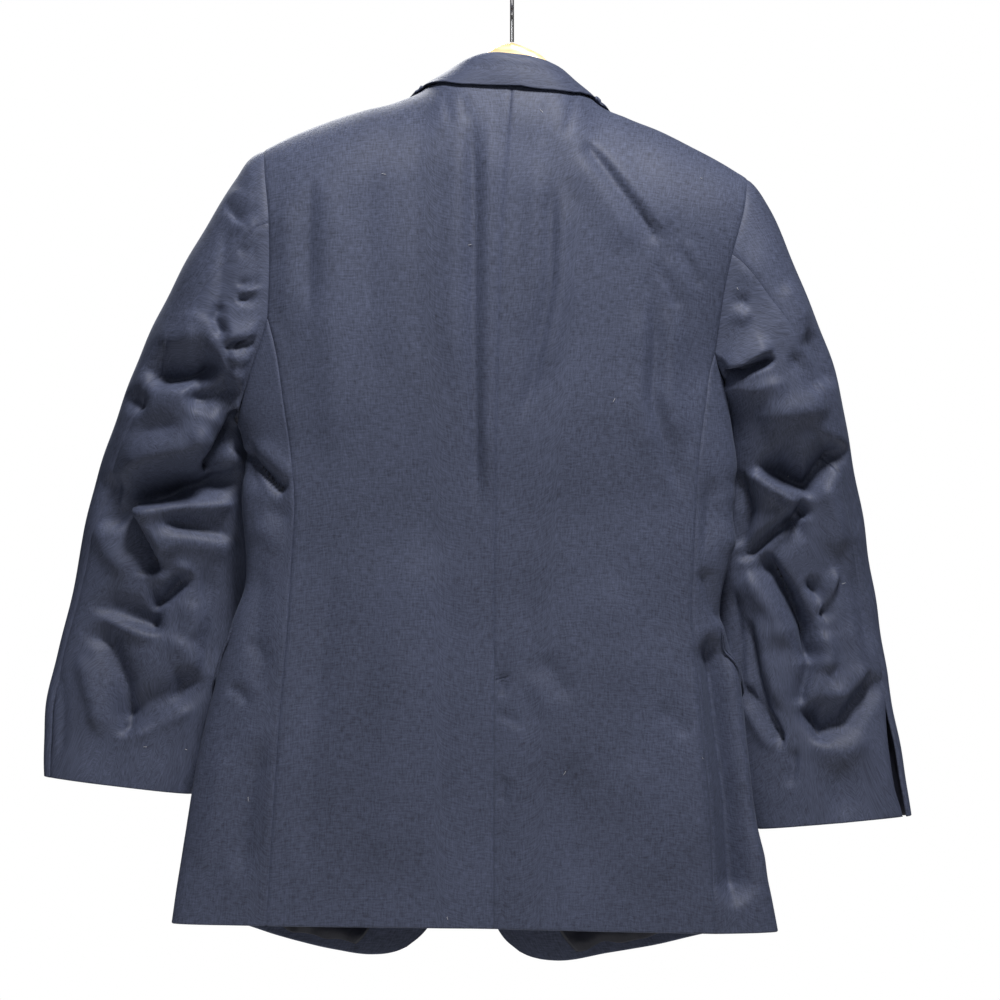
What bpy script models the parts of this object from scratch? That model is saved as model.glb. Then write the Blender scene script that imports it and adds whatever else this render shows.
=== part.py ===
"""A single-breasted blazer hanging on a wooden hanger, at its real size.

Lengths in the tables are millimetres. "drop" is the distance below the point where the hook
hangs, and "out" is the distance from the middle line towards the side of the panel named.
The wearer's left is +X and the wearer's back is +Y. The origin is the hook's bearing point.
"""

import math

import bpy
import numpy as np

MM = 0.001
WALL = 2.0
SEAM_GAP = 0.32
LAY_GAP = 0.6
UNDERARM_GAP = 0.6

# Rows and columns of the cloth grids
ARMHOLE_ROWS = 8
ARMHOLE_CROWD = 1.7
SEAM_ROWS = 15
NECK_COLUMNS = 3
SHOULDER_COLUMNS = 9
UNDERARM_COLUMNS = 3
SLEEVE_ROWS = 24
HINDARM_STEP = 5
FOREARM_STEP = 7

# The body's cross-section is a flattened oval with this power, closed over the shoulders
OVAL_POWER = 2.6
SHOULDER_CAP = 85.0
CAP_POWER = 0.6

# How the seam lines and armholes divide a panel's length
ARMHOLE_SHARE = 0.30
ARMHOLE_DEPTH = 0.6275
ARMHOLE_SCOOP = 9.0

# How far down each armhole's lowest point lies
UNDERARM = {"left": 429.0, "right": 396.0}

VENT_TOP = 669.0
VENT_UNDERLAP = 32.0
VENT_SINK = 3.2
FRONT_LAP_SINK = 3.4
BUTTON_RADIUS = 10.0
BUTTON_THICK = 3.4
JET_WIDTH = 6.0
JET_THICK = 1.3
JET_GAP = 1.2
LINING_WALL = 1.0

# The collar's sections on each side, the share of its way that goes round the back neck, the
# share of the front's edge that it follows, how high its fall lies off the body from the fold
# to the edge, and how much of the lapel's top it meets, with the gap there
COLLAR_STEPS = 13
COLLAR_NECK = 0.68
COLLAR_GORGE = 0.066
COLLAR_LIFTS = (6.0, 5.4, 4.6, 3.9)
GORGE_REACH = 0.94
GORGE_GAP = 1.0

HOOK_WIRE = 3.8
HOOK_INNER_RADIUS = 16.0
WOOD_PEAK = 70.8


class Table:
    """Rows of named columns, read along the first one on a smooth curve."""

    def __init__(self, columns, rows):
        names = columns.split()
        values = np.array(rows, float).T
        self.key = values[0]
        self.column = dict(zip(names, values))

    def at(self, name, where):
        return smooth(self.key, self.column[name], where)


def smooth(keys, values, where):
    """A cubic through the rows, held at its ends."""
    keys = np.asarray(keys, float)
    values = np.asarray(values, float)
    slope = np.gradient(values, keys)
    where = np.clip(where, keys[0], keys[-1])
    i = np.clip(np.searchsorted(keys, where, side="right") - 1, 0, len(keys) - 2)
    step = keys[i + 1] - keys[i]
    t = (where - keys[i]) / step
    back = 1 - t
    start = values[i] * (1 + 2 * t) * back**2 + slope[i] * step * t * back**2
    end = values[i + 1] * t**2 * (3 - 2 * t) - slope[i + 1] * step * t**2 * back
    return start + end


def ramp(where, low, high):
    """0 up to low, 1 from high on, soft between."""
    t = np.clip((where - low) / (high - low), 0, 1)
    return t * t * (3 - 2 * t)


class Path:
    """A smooth curve through points, walked from 0 to 1 by its length."""

    def __init__(self, points):
        self.points = np.array(points, float)
        steps = np.linalg.norm(np.diff(self.points, axis=0), axis=1)
        self.length = np.concatenate([[0], np.cumsum(steps)])

    def at(self, share):
        where = np.asarray(share, float) * self.length[-1]
        axes = [smooth(self.length, axis, where) for axis in self.points.T]
        return np.stack(axes, axis=-1)


# The body's depth at each level, back and front of the side line
DEPTH = Table(
    "drop back front",
    [
        (60, 50, 48),
        (130, 54, 52),
        (200, 60, 57),
        (300, 62, 60),
        (420, 56, 58),
        (520, 46, 50),
        (600, 42, 47),
        (700, 39, 42),
        (800, 34, 37),
        (945, 28, 32),
    ],
)

CENTRE_BACK = Table(
    "drop x",
    [(110, 0), (163, 4), (224, 7), (303, 10), (458, 14), (562, 17), (657, 17.5), (915, 18.5)],
)


class Half:
    """One side's outlines. Its sign is +1 on the wearer's left and -1 on the right."""

    def __init__(self, name, sign, edge, ridge, neck, armhole, seam, front_edge, front_hem, corners):
        self.name = name
        self.sign = sign
        self.edge = Table("drop out", edge)
        self.ridge = Table("out drop", ridge)
        self.neck = neck
        self.armhole = Path(armhole)
        self.seam = Table("drop out", seam)
        self.front_edge = Path(front_edge)
        self.front_hem = front_hem
        self.neck_out, self.shoulder_out, self.hem_drop, self.centre_hem = corners


LEFT = Half(
    "left",
    +1,
    edge=[
        (60, 268), (240, 268), (351, 268), (398, 266), (429, 262), (448, 256.5), (505, 257),
        (596, 256), (617, 264), (687, 283.5), (754, 300), (808, 308), (915, 325),
    ],
    ridge=[
        (0, 74), (30, 77), (50, 84), (65, 96), (80, 113), (108, 127), (144, 136.5),
        (183, 149.5), (214, 162.5), (236, 174), (275, 198),
    ],
    neck=[(0, 112), (40, 109), (65, 109.5), (80, 113)],
    armhole=[
        (236, 174), (234, 198), (229, 239), (228, 265), (228, 291), (229, 318), (230, 334),
    ],
    seam=[
        (334, 230), (363, 222.5), (412, 215), (503, 205), (566, 208), (627, 212),
        (702, 218.5), (763, 223), (823, 227), (907, 232),
    ],
    front_edge=[
        (80, 113), (66, 172), (50, 270), (28, 400), (2, 535), (3, 600), (6, 650),
        (14, 720), (32, 800), (56, 870), (78, 910), (100, 929),
    ],
    front_hem=[(100, 929), (134.5, 936), (171, 931), (225, 918), (269, 908), (283, 906)],
    corners=(80, 236, 907, 909),
)

RIGHT = Half(
    "right",
    -1,
    edge=[
        (60, 248), (211, 246), (256, 234), (293, 222), (328, 212), (367, 203), (384, 199),
        (410, 201), (442, 207), (474, 213), (514, 207), (550, 209), (590, 200), (612, 199),
        (668, 216), (742, 225), (808, 233), (920, 254),
    ],
    ridge=[
        (0, 74), (30, 82), (48, 92), (62, 108), (76, 125), (110, 143), (140, 155),
        (170, 170), (200, 186), (224, 201), (255, 222),
    ],
    neck=[(0, 112), (40, 114), (60, 117), (76, 125)],
    armhole=[
        (224, 201), (218.5, 233), (212, 256), (207, 274), (199, 314), (195.5, 340), (192, 367),
    ],
    seam=[
        (367, 192), (386, 187), (415, 183), (467, 176), (520, 173.5), (572, 171), (618, 170),
        (655, 176), (707, 180), (783, 187), (912, 192),
    ],
    front_edge=[
        (76, 125), (60, 185), (32, 300), (-2, 420), (-38, 535), (-43, 600), (-44, 650),
        (-40, 720), (-33, 800), (-25, 870), (-18, 909), (12, 936),
    ],
    front_hem=[(12, 936), (41, 942), (95, 934), (136, 927), (190, 918), (212, 915)],
    corners=(76, 224, 912, 909),
)

# Soft folds of the body, a row each: x and drop where it starts, x and drop where it ends,
# its width, and its height out of the cloth
BACK_FOLDS = [
    (36, 120, 37, 330, 13, -3.2),
    (37, 330, 34, 560, 14, -2.2),
    (20, 130, 24, 480, 12, 1.8),
    (-38, 200, -36, 300, 13, -2.6),
    (-36, 300, -9, 440, 13, -2.6),
    (-72, 160, -142, 262, 13, -3.6),
    (-100, 170, -165, 250, 14, 2.0),
    (-131, 312, -136, 409, 14, -3.2),
    (-136, 409, -166, 508, 14, -3.2),
    (191, 200, 190, 330, 16, -2.2),
    (150, 190, 120, 420, 26, 2.2),
    (262, 452, 216, 502, 12, -3.4),
    (240, 505, 190, 530, 14, 1.8),
    (-20, 650, -60, 702, 16, -1.8),
    (-134, 700, -172, 735, 16, -2.0),
    (-176, 640, -222, 820, 12, -3.2),
    (120, 700, 150, 900, 30, 2.0),
    (-90, 720, -110, 905, 28, 2.0),
]
FRONT_FOLDS = [
    (196, 210, 170, 420, 18, -3.0),
    (150, 230, 120, 470, 24, 2.2),
    (-180, 240, -150, 430, 18, -3.0),
    (-130, 260, -100, 480, 22, 2.0),
    (60, 545, 170, 470, 16, -3.0),
    (60, 565, 190, 590, 16, 2.4),
    (-30, 550, -140, 480, 16, -3.0),
    (-30, 570, -150, 600, 16, 2.2),
    (150, 680, 170, 900, 26, 2.4),
    (-90, 690, -110, 900, 26, 2.4),
]

# Sleeve outlines as seen from behind, and the folds of each sleeve
SLEEVE_COLUMNS = "row outer inner depth middle"
SLEEVE_SHAPE = Table(
    SLEEVE_COLUMNS,
    [
        (0.00, 0.000, 0.000, 42, 0),
        (0.12, 0.120, 0.008, 45, -1),
        (0.27, 0.280, 0.020, 48, -9),
        (0.40, 0.430, 0.045, 47, -22),
        (0.52, 0.545, 0.210, 40, -38),
        (0.66, 0.675, 0.435, 30, -47),
        (0.80, 0.800, 0.660, 24, -47),
        (0.92, 0.925, 0.875, 18, -44),
        (1.00, 1.000, 1.000, 15, -42),
    ],
)

LEFT_SLEEVE = {
    "outer": [
        (236, 174), (247, 180), (262, 200), (293, 250), (323, 305), (347, 353), (370, 414),
        (392, 476), (409, 548), (424, 624), (439.5, 681), (444.5, 735), (444, 768),
    ],
    "inner": [
        (262, 429), (260.5, 442), (253, 468), (243.5, 505), (238, 550), (237, 600), (248, 660),
        (271, 725), (292, 768), (304, 785),
    ],
    "hindarm": [(0.2, 0.30), (0.4, 0.25), (0.6, 0.17), (0.75, 0.13), (1.0, 0.12)],
    "folds": [
        (355, 360, 258, 420, 16, -5.0),
        (330, 395, 262, 400, 14, 3.5),
        (372, 500, 262, 484, 14, -4.5),
        (372, 470, 280, 455, 16, 3.0),
        (366, 500, 336, 572, 12, -4.5),
        (396, 595, 330, 628, 14, -3.5),
        (342, 602, 304, 575, 14, -3.0),
        (402, 632, 374, 680, 12, -4.0),
        (374, 713, 312, 682, 14, -4.0),
        (410, 540, 380, 610, 16, 3.0),
        (350, 640, 310, 650, 18, 3.0),
    ],
}
RIGHT_SLEEVE = {
    "outer": [
        (224, 201), (232, 209), (243, 226), (267, 279), (292, 342), (309, 391), (317, 433),
        (330, 503), (341.5, 578), (351, 633), (361, 700), (372, 757), (378.5, 805),
    ],
    "inner": [
        (200, 396), (205.5, 408), (205.5, 432), (204, 468), (191, 520), (185, 580), (194, 650),
        (208, 720), (221, 780), (233, 815),
    ],
    "hindarm": [(0.2, 0.30), (0.4, 0.25), (0.6, 0.20), (0.75, 0.13), (1.0, 0.10)],
    "folds": [
        (-195, 382, -248, 371, 12, -4.0),
        (-280, 345, -304, 392, 13, -4.0),
        (-236, 462, -320, 447, 15, -5.0),
        (-236, 466, -270, 502, 10, 3.0),
        (-272, 506, -212, 555, 13, -4.5),
        (-240, 560, -285, 625, 12, -5.0),
        (-300, 590, -312, 640, 10, 3.0),
        (-284, 655, -346, 672, 14, -4.0),
        (-218, 682, -254, 740, 13, -3.5),
        (-222, 612, -256, 735, 14, 3.0),
    ],
}

POCKET_ROUTE = Table("share round drop", [(0, 35, 634), (0.3, 0, 684), (0.55, -38, 700), (1, -112, 708)])
BUTTON_PLACES = [(20.0, 556.0), (24.0, 652.0)]

COLLAR_LEFT = Table(
    "way fold_out fold_y fold_drop edge_out edge_drop",
    [
        (0.00, 0, 41, 81, 0, 113),
        (0.20, 18, 39, 80, 22, 112),
        (0.40, 35, 31, 84, 46, 110.5),
        (0.55, 46, 18, 92, 68, 110.5),
        (0.68, 52, 2, 101, 86, 117),
        (0.80, 55, -21, 118, 104, 132),
        (0.90, 60, -42, 141, 120, 150),
        (1.00, 63, -54.5, 167.5, 131, 168),
    ],
)
COLLAR_RIGHT = Table(
    "way fold_out fold_y fold_drop edge_out edge_drop",
    [
        (0.00, 0, 41, 81, 0, 113),
        (0.20, 18, 39, 84, 22, 115.5),
        (0.40, 35, 31, 90, 46, 117),
        (0.55, 46, 18, 99, 66, 121),
        (0.68, 52, 2, 110, 82, 129),
        (0.80, 54, -21, 128, 100, 146),
        (0.90, 57, -42, 151, 116, 165),
        (1.00, 57.5, -54.5, 179, 127, 183),
    ],
)

LAPEL_LEFT = {"gorge": 0.070, "foot": 0.487, "tip": (151, 208), "edge": [(136, 310), (84, 430)]}
LAPEL_RIGHT = {"gorge": 0.070, "foot": 0.392, "tip": (147, 221), "edge": [(125, 318), (62, 405)]}

WOOD_LEFT = Table(
    "out top height thick",
    [
        (0, WOOD_PEAK, 66, 7), (14, 75, 64, 7), (26, 82, 60, 7), (40, 93, 52, 7.5),
        (54, 108.5, 43, 8), (66, 115, 39, 8), (80, 119, 38, 8), (108, 130.5, 36, 8.5),
        (144, 140.5, 34, 9), (183, 153.5, 32, 9.5), (206, 163.5, 28, 9),
    ],
)
WOOD_RIGHT = Table(
    "out top height thick",
    [
        (0, WOOD_PEAK, 66, 7), (14, 76, 63, 7), (32, 87, 57, 7), (45, 104.5, 45, 7.5),
        (54, 118.5, 37, 8), (66, 127, 36.5, 8), (80, 133.5, 36.5, 8), (110, 148.5, 35.5, 8.5),
        (140, 159, 34, 9), (170, 174, 32, 9.5), (196, 188, 28, 9),
    ],
)


def oval(drop):
    """The middle and half width of the body at a level."""
    left = LEFT.edge.at("out", drop)
    right = -RIGHT.edge.at("out", drop)
    return (left + right) / 2, (left - right) / 2


def cap(x, drop):
    """How far the body has opened below the shoulder ridge, from 0 to 1."""
    left = LEFT.ridge.at("drop", np.maximum(x, 0))
    right = RIGHT.ridge.at("drop", np.maximum(-x, 0))
    below = drop - np.where(x >= 0, left, right)
    share = np.clip(below / SHOULDER_CAP, 0, 1)
    return (1 - (1 - share) ** 2) ** CAP_POWER


def fold_height(x, drop, folds):
    """The height of all folds at a place, each a soft ridge or trough that fades at its ends."""
    total = np.zeros(np.broadcast(x, drop).shape)
    for x0, drop0, x1, drop1, width, height in folds:
        run = np.array([x1 - x0, drop1 - drop0])
        length = np.hypot(*run)
        along = ((x - x0) * run[0] + (drop - drop0) * run[1]) / length
        beyond = np.maximum(np.maximum(-along, along - length), 0)
        across = ((x - x0) * run[1] - (drop - drop0) * run[0]) / length
        total = total + height * np.exp(-((across / width) ** 2) - (beyond / (2 * width)) ** 2)
    return total


def torso(x, drop, face):
    """The outer surface of the body at x and drop, face +1 for the back and -1 for the front."""
    middle, half = oval(drop)
    depth = np.where(face > 0, DEPTH.at("back", drop), DEPTH.at("front", drop))
    share = np.clip(np.abs(x - middle) / half, 0, 0.9995)
    rise = (1 - share**OVAL_POWER) ** (1 / OVAL_POWER)
    y = face * depth * rise * cap(x, drop)
    return folded(x, y, drop, share, rise, depth, half, middle, face)


def torso_round(sign, turn, drop):
    """The same surface by its turn: pi/2 at the back's middle, 0 at the side, -pi/2 in front."""
    middle, half = oval(drop)
    depth = np.where(turn > 0, DEPTH.at("back", drop), DEPTH.at("front", drop))
    share = np.abs(np.cos(turn)) ** (2 / OVAL_POWER)
    rise = np.abs(np.sin(turn)) ** (2 / OVAL_POWER)
    x = middle + sign * half * share
    face = np.where(turn >= 0, 1.0, -1.0)
    y = face * depth * rise * cap(x, drop)
    return folded(x, y, drop, share, rise, depth, half, middle, face)


def folded(x, y, drop, share, rise, depth, half, middle, face):
    """Moves a body point out along its level's normal by the height of the folds there."""
    out_x = np.sign(x - middle) * share ** (OVAL_POWER - 1) / half
    out_y = face * rise ** (OVAL_POWER - 1) / depth
    size = np.hypot(out_x, out_y)
    opened = ramp(cap(x, drop), 0.05, 0.6)
    back = fold_height(x, drop, BACK_FOLDS) * ramp(rise * face, -0.3, 0.3)
    front = fold_height(x, drop, FRONT_FOLDS) * ramp(-rise * face, -0.3, 0.3)
    height = (back + front) * opened
    return np.stack([x + out_x / size * height, y + out_y / size * height, -drop], axis=-1)


def coons(top, bottom, inner, outer):
    """Fills a patch between its four edges: top and bottom run across, inner and outer down."""
    across = np.linspace(0, 1, len(top))[None, :, None]
    down = np.linspace(0, 1, len(inner))[:, None, None]
    flat = (1 - down) * top[None] + down * bottom[None]
    flat = flat + (1 - across) * inner[:, None] + across * outer[:, None]
    flat = flat - (1 - down) * ((1 - across) * top[0] + across * top[-1])
    return flat - down * ((1 - across) * bottom[0] + across * bottom[-1])


def hole_shares():
    """The rows down an armhole, closer together towards the shoulder's ridge."""
    return np.linspace(0, 1, ARMHOLE_ROWS + 1) ** ARMHOLE_CROWD


def outer_edge(half, front):
    """The panel's outer edge: down the armhole, then down the side seam, as (out, drop)."""
    hole = half.armhole.at(hole_shares())
    start = hole[-1, 1]
    drops = np.linspace(start, half.hem_drop, SEAM_ROWS + 1)[1:]
    seam = np.stack([half.seam.at("out", drops), drops], axis=-1)
    if front:
        scoop = ARMHOLE_SCOOP * np.sin(math.pi * hole_shares())
        ahead = front_seam(half, drops)
        shift = ahead[0] - half.seam.at("out", start)
        lean = shift * hole_shares() ** 3
        hole = hole + np.stack([lean - scoop, np.zeros(ARMHOLE_ROWS + 1)], axis=-1)
        seam = np.stack([ahead, drops], axis=-1)
    return np.concatenate([hole, seam])


def front_seam(half, drops):
    """Where the front meets the side panel, a little forward of the side line."""
    start = half.armhole.points[-1, 1]
    ease = ramp(drops, start, start + 130)
    return half.edge.at("out", drops) - 30 * ease - 22 * (1 - ease)


def top_edge(half):
    """The back neck and then the shoulder, out to the shoulder point, as (out, drop)."""
    neck_out = np.linspace(0, half.neck_out, NECK_COLUMNS + 1)
    neck = smooth(*np.array(half.neck, float).T, neck_out)
    shoulder_out = np.linspace(half.neck_out, half.shoulder_out, SHOULDER_COLUMNS + 1)[1:]
    shoulder = half.ridge.at("drop", shoulder_out)
    outs = np.concatenate([neck_out, shoulder_out])
    return np.stack([outs, np.concatenate([neck, shoulder])], axis=-1)


def down_shares():
    """The rows of a back or front panel, from 0 at its top to 1 at its hem."""
    hole = hole_shares() * ARMHOLE_SHARE
    seam = np.linspace(ARMHOLE_SHARE, 1, SEAM_ROWS + 1)[1:]
    return np.concatenate([hole, seam])


def back_panel(half):
    """One back panel. Below the vent's top the right one goes on under the left one."""
    shares = down_shares()
    top = top_edge(half)
    outer = outer_edge(half, front=False)
    centre_drop = top[0, 1] + (half.centre_hem - top[0, 1]) * shares
    centre_out = half.sign * CENTRE_BACK.at("x", centre_drop)
    inner = np.stack([centre_out, centre_drop], axis=-1)
    top[: NECK_COLUMNS + 1, 0] += centre_out[0] * np.linspace(1, 0, NECK_COLUMNS + 1)
    across = np.linspace(0, 1, len(top))[:, None]
    bottom = (1 - across) * inner[-1] + across * outer[-1]
    flat = coons(top, bottom, inner, outer)
    sink = np.zeros(flat.shape[:2])
    if half is RIGHT:
        lap = ramp(centre_drop, VENT_TOP - 4, VENT_TOP + 30)
        flat[:, 0, 0] -= lap * VENT_UNDERLAP
        flat[:, 1, 0] -= lap * (flat[:, 1, 0] - centre_out - 5)
        near = 1 - ramp(flat[..., 0] - centre_out[:, None], 4, 50)
        sink = VENT_SINK * near * ramp(flat[..., 1], VENT_TOP - 80, VENT_TOP - 25)
    grid = torso(half.sign * flat[..., 0], flat[..., 1], 1.0)
    grid[..., 1] -= sink
    return grid


def front_panel(half):
    """One front panel, from the roll line and front edge out to the armhole and side seam."""
    shares = down_shares()
    top = top_edge(half)[NECK_COLUMNS:]
    outer = outer_edge(half, front=True)
    inner = half.front_edge.at(shares)
    hem = Path(list(half.front_hem[:-1]) + [tuple(outer[-1])])
    bottom = hem.at(np.linspace(0, 1, len(top)))
    flat = coons(top, bottom, inner, outer)
    grid = torso(half.sign * flat[..., 0], flat[..., 1], -1.0)
    if half is RIGHT:
        near = 1 - ramp(flat[..., 0], -10, 60)
        grid[..., 1] += FRONT_LAP_SINK * near * ramp(flat[..., 1], 380, 470)
    return grid


def turn_of(half, out, drop):
    """The turn round the body's oval at which it is this far out."""
    middle, width = oval(drop)
    share = np.clip(np.abs(half.sign * out - middle) / width, 0, 0.9995)
    return np.arccos(share ** (OVAL_POWER / 2))


def side_panel(half):
    """The panel under the arm, round the body's side from the back seam to the front seam."""
    back = outer_edge(half, front=False)[ARMHOLE_ROWS:]
    front = outer_edge(half, front=True)[ARMHOLE_ROWS:]
    start = turn_of(half, back[:, 0], back[:, 1])
    end = -turn_of(half, front[:, 0], front[:, 1])
    across = np.linspace(0, 1, 2 * UNDERARM_COLUMNS + 1)
    turn = start[:, None] * (1 - across) + end[:, None] * across
    drop = back[:, 1][:, None] * (1 - across) + front[:, 1][:, None] * across
    depth = UNDERARM[half.name] - back[0, 1]
    scoop = depth * np.sin(math.pi * across) ** 0.8
    fade = (1 - np.linspace(0, 1, SEAM_ROWS + 1))[:, None]
    return torso_round(half.sign, turn, drop + scoop * fade)


def armhole_ring(half, back, side, front):
    """The armhole's points from the shoulder point round the back, underarm and front."""
    behind = back[: ARMHOLE_ROWS + 1, -1]
    under = side[0, 1:-1]
    ahead = front[ARMHOLE_ROWS:0:-1, -1]
    return np.concatenate([behind, under, ahead])


def ring_turns():
    """For each armhole point, its share of the way round: 0 and 2 at the shoulder, 1 underarm."""
    behind = np.arccos(1 - 2 * ARMHOLE_DEPTH * hole_shares()) / math.pi
    under = np.linspace(behind[-1], 2 - behind[-1], 2 * UNDERARM_COLUMNS + 1)[1:-1]
    ahead = 2 - behind[:0:-1]
    return np.concatenate([behind, under, ahead])


def sleeve_oval(half, shape, row, turn):
    """A point of the plain sleeve at a row from 0 to 1 and a turn from 0 to 2."""
    outer = Path(shape["outer"]).at(SLEEVE_SHAPE.at("outer", row))
    inner = Path(shape["inner"]).at(SLEEVE_SHAPE.at("inner", row))
    angle = math.pi * turn
    centre = (outer + inner) / 2
    reach = (outer - inner) / 2
    flat = centre + reach * np.cos(angle)[..., None]
    y = SLEEVE_SHAPE.at("middle", row) + SLEEVE_SHAPE.at("depth", row) * np.sin(angle)
    return np.stack([half.sign * flat[..., 0], y, -flat[..., 1]], axis=-1)


def sleeve_grid(half, shape, ring, turns, moved):
    """Rows of the sleeve from the armhole to the cuff, at the turns moved for each row."""
    rows = np.linspace(0, 1, SLEEVE_ROWS + 1)[:, None] * np.ones(len(turns))
    plain = sleeve_oval(half, shape, rows, moved)
    start = ring - sleeve_oval(half, shape, 0 * turns, turns)
    fade = (1 - ramp(rows, 0, 0.34))[..., None]
    grid = plain + start * fade
    rise = np.sin(math.pi * moved)
    centre = sleeve_oval(half, shape, rows, moved * 0 + 0.5)
    outward = grid - (centre + sleeve_oval(half, shape, rows, moved * 0 + 1.5)) / 2
    outward = outward / np.linalg.norm(outward, axis=-1, keepdims=True)
    outward[..., 1] += 0.6 * rise
    height = fold_height(grid[..., 0], -grid[..., 2], shape["folds"])
    height = height * ramp(rows, 0.06, 0.2)
    behind = ramp(rise, 0.0, 0.4)
    ahead = ramp(-rise, 0.0, 0.4)
    return grid + outward * (height * (behind + 0.7 * ahead))[..., None]


def sleeve_pieces(half, shape, ring):
    """The top sleeve and the under sleeve, split at the elbow seam and the forearm seam."""
    turns = ring_turns()
    rows = np.linspace(0, 1, SLEEVE_ROWS + 1)
    elbow_index = HINDARM_STEP
    forearm_index = len(turns) - FOREARM_STEP
    first = turns[elbow_index]
    last = turns[forearm_index]
    elbow = smooth(*np.array([(0.0, first), *shape["hindarm"]]).T, rows)
    forearm = smooth([0, 0.4, 1], [last, 1.40, 1.34], rows)
    order = np.arange(forearm_index, len(turns) + elbow_index + 1) % len(turns)
    top_turns = np.where(order >= forearm_index, turns[order] - 2, turns[order])
    behind = top_turns[None] * (elbow / first)[:, None]
    ahead = top_turns[None] * ((2 - forearm) / (2 - last))[:, None]
    top_moved = np.where(top_turns[None] >= 0, behind, ahead)
    top = sleeve_grid(half, shape, ring[order], top_turns % 2, top_moved % 2)
    under_turns = turns[elbow_index : forearm_index + 1]
    share = (under_turns - first) / (last - first)
    under_moved = elbow[:, None] * (1 - share) + forearm[:, None] * share
    under = sleeve_grid(
        half, shape, ring[elbow_index : forearm_index + 1], under_turns, under_moved
    )
    return top, under


def open_cuff(half, top, under):
    """Parts the two sleeve pieces at the cuff vent, widest halfway down the vent."""
    rows = np.linspace(0, 1, SLEEVE_ROWS + 1)
    gape = 9.0 if half is RIGHT else 2.0
    parted = gape * ramp(rows, 0.80, 0.88) * (1 - 0.4 * ramp(rows, 0.93, 1.0))
    step = under[:, 1] - under[:, 0]
    away = step / np.linalg.norm(step, axis=1, keepdims=True)
    under[:, 0] += away * parted[:, None]
    under[:, 1] += away * parted[:, None] * 0.6


def lapel(half, cut):
    """The lapel: a wall that rolls over the front's edge and lies back on the front."""
    shares = np.linspace(cut["gorge"], cut["foot"], 15)
    roll = half.front_edge.at(shares)
    outline = Path([cut["tip"], *cut["edge"], tuple(roll[-1] + (1.5, 1.0))])
    edge = outline.at(np.linspace(0, 1, len(shares)))
    reach = edge - roll
    width = np.linalg.norm(reach, axis=1)
    along = reach / width[:, None]
    section = [
        (-2.9, 0.0, -1.0), (-3.4, 0.0, 2.6), (-1.2, 0.0, 5.2), (4.0, 0.04, 5.6),
        (2.0, 0.30, 4.6), (0.0, 0.64, 3.6), (0.0, 1.0, 3.0),
    ]
    columns = []
    for fixed, share, lift in section:
        slim = ramp(width, 0, 24) if share == 0 else 1
        flat = roll + along * (fixed * np.minimum(1, width / 30) + share * width)[:, None]
        point = torso(half.sign * flat[:, 0], flat[:, 1], -1.0)
        if half is RIGHT:
            near = 1 - ramp(flat[:, 0], -10, 60)
            point[:, 1] += FRONT_LAP_SINK * near * ramp(flat[:, 1], 380, 470)
        point[:, 1] -= 3.0 + (lift - 3.0) * slim
        columns.append(point)
    return np.stack(columns, axis=1)


def torso_frame(x, drop, face):
    """A point of the body's surface and the outward direction there."""
    step = 1.5
    point = torso(x, drop, face)
    across = torso(x + step, drop, face) - torso(x - step, drop, face)
    down = torso(x, drop + step, face) - torso(x, drop - step, face)
    out = np.cross(across, down)
    out = out * np.where(out[..., 1] * face < 0, -1.0, 1.0)[..., None]
    return point, out / np.linalg.norm(out, axis=-1, keepdims=True)


def shoulder_surface(half):
    """Points of the cloth round the neck and shoulder on one side, and the outward normals."""
    out = np.linspace(30, 190, 97)[:, None]
    turn = np.linspace(-1, 1, 97)[None]
    drop = half.ridge.at("drop", out) + SHOULDER_CAP * turn**2
    face = np.where(turn >= 0, 1.0, -1.0)
    points = torso(half.sign * out, drop, face)
    normal = np.cross(np.gradient(points, axis=0), np.gradient(points, axis=1))
    normal = normal / np.linalg.norm(normal, axis=-1, keepdims=True)
    if normal[..., 48, 2].sum() < 0:
        normal = -normal
    front_edge = np.interp(drop, half.front_edge.points[:, 1], half.front_edge.points[:, 0])
    neck = np.interp(out, *np.array(half.neck, float).T)
    cloth = np.where(turn >= 0, drop > neck, out > front_edge)
    return points[cloth], normal[cloth]


def kept_off(points, surface, lift, share=1.0):
    """Moves points that lie too near the cloth, or in it, out to the given height above it."""
    places, normals = surface
    moved = points.copy()
    for index, point in enumerate(points):
        nearest = np.argmin(np.sum((places - point) ** 2, axis=1))
        height = np.dot(point - places[nearest], normals[nearest])
        moved[index] += normals[nearest] * max(lift - height, 0)
    return points + (moved - points) * share


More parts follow.
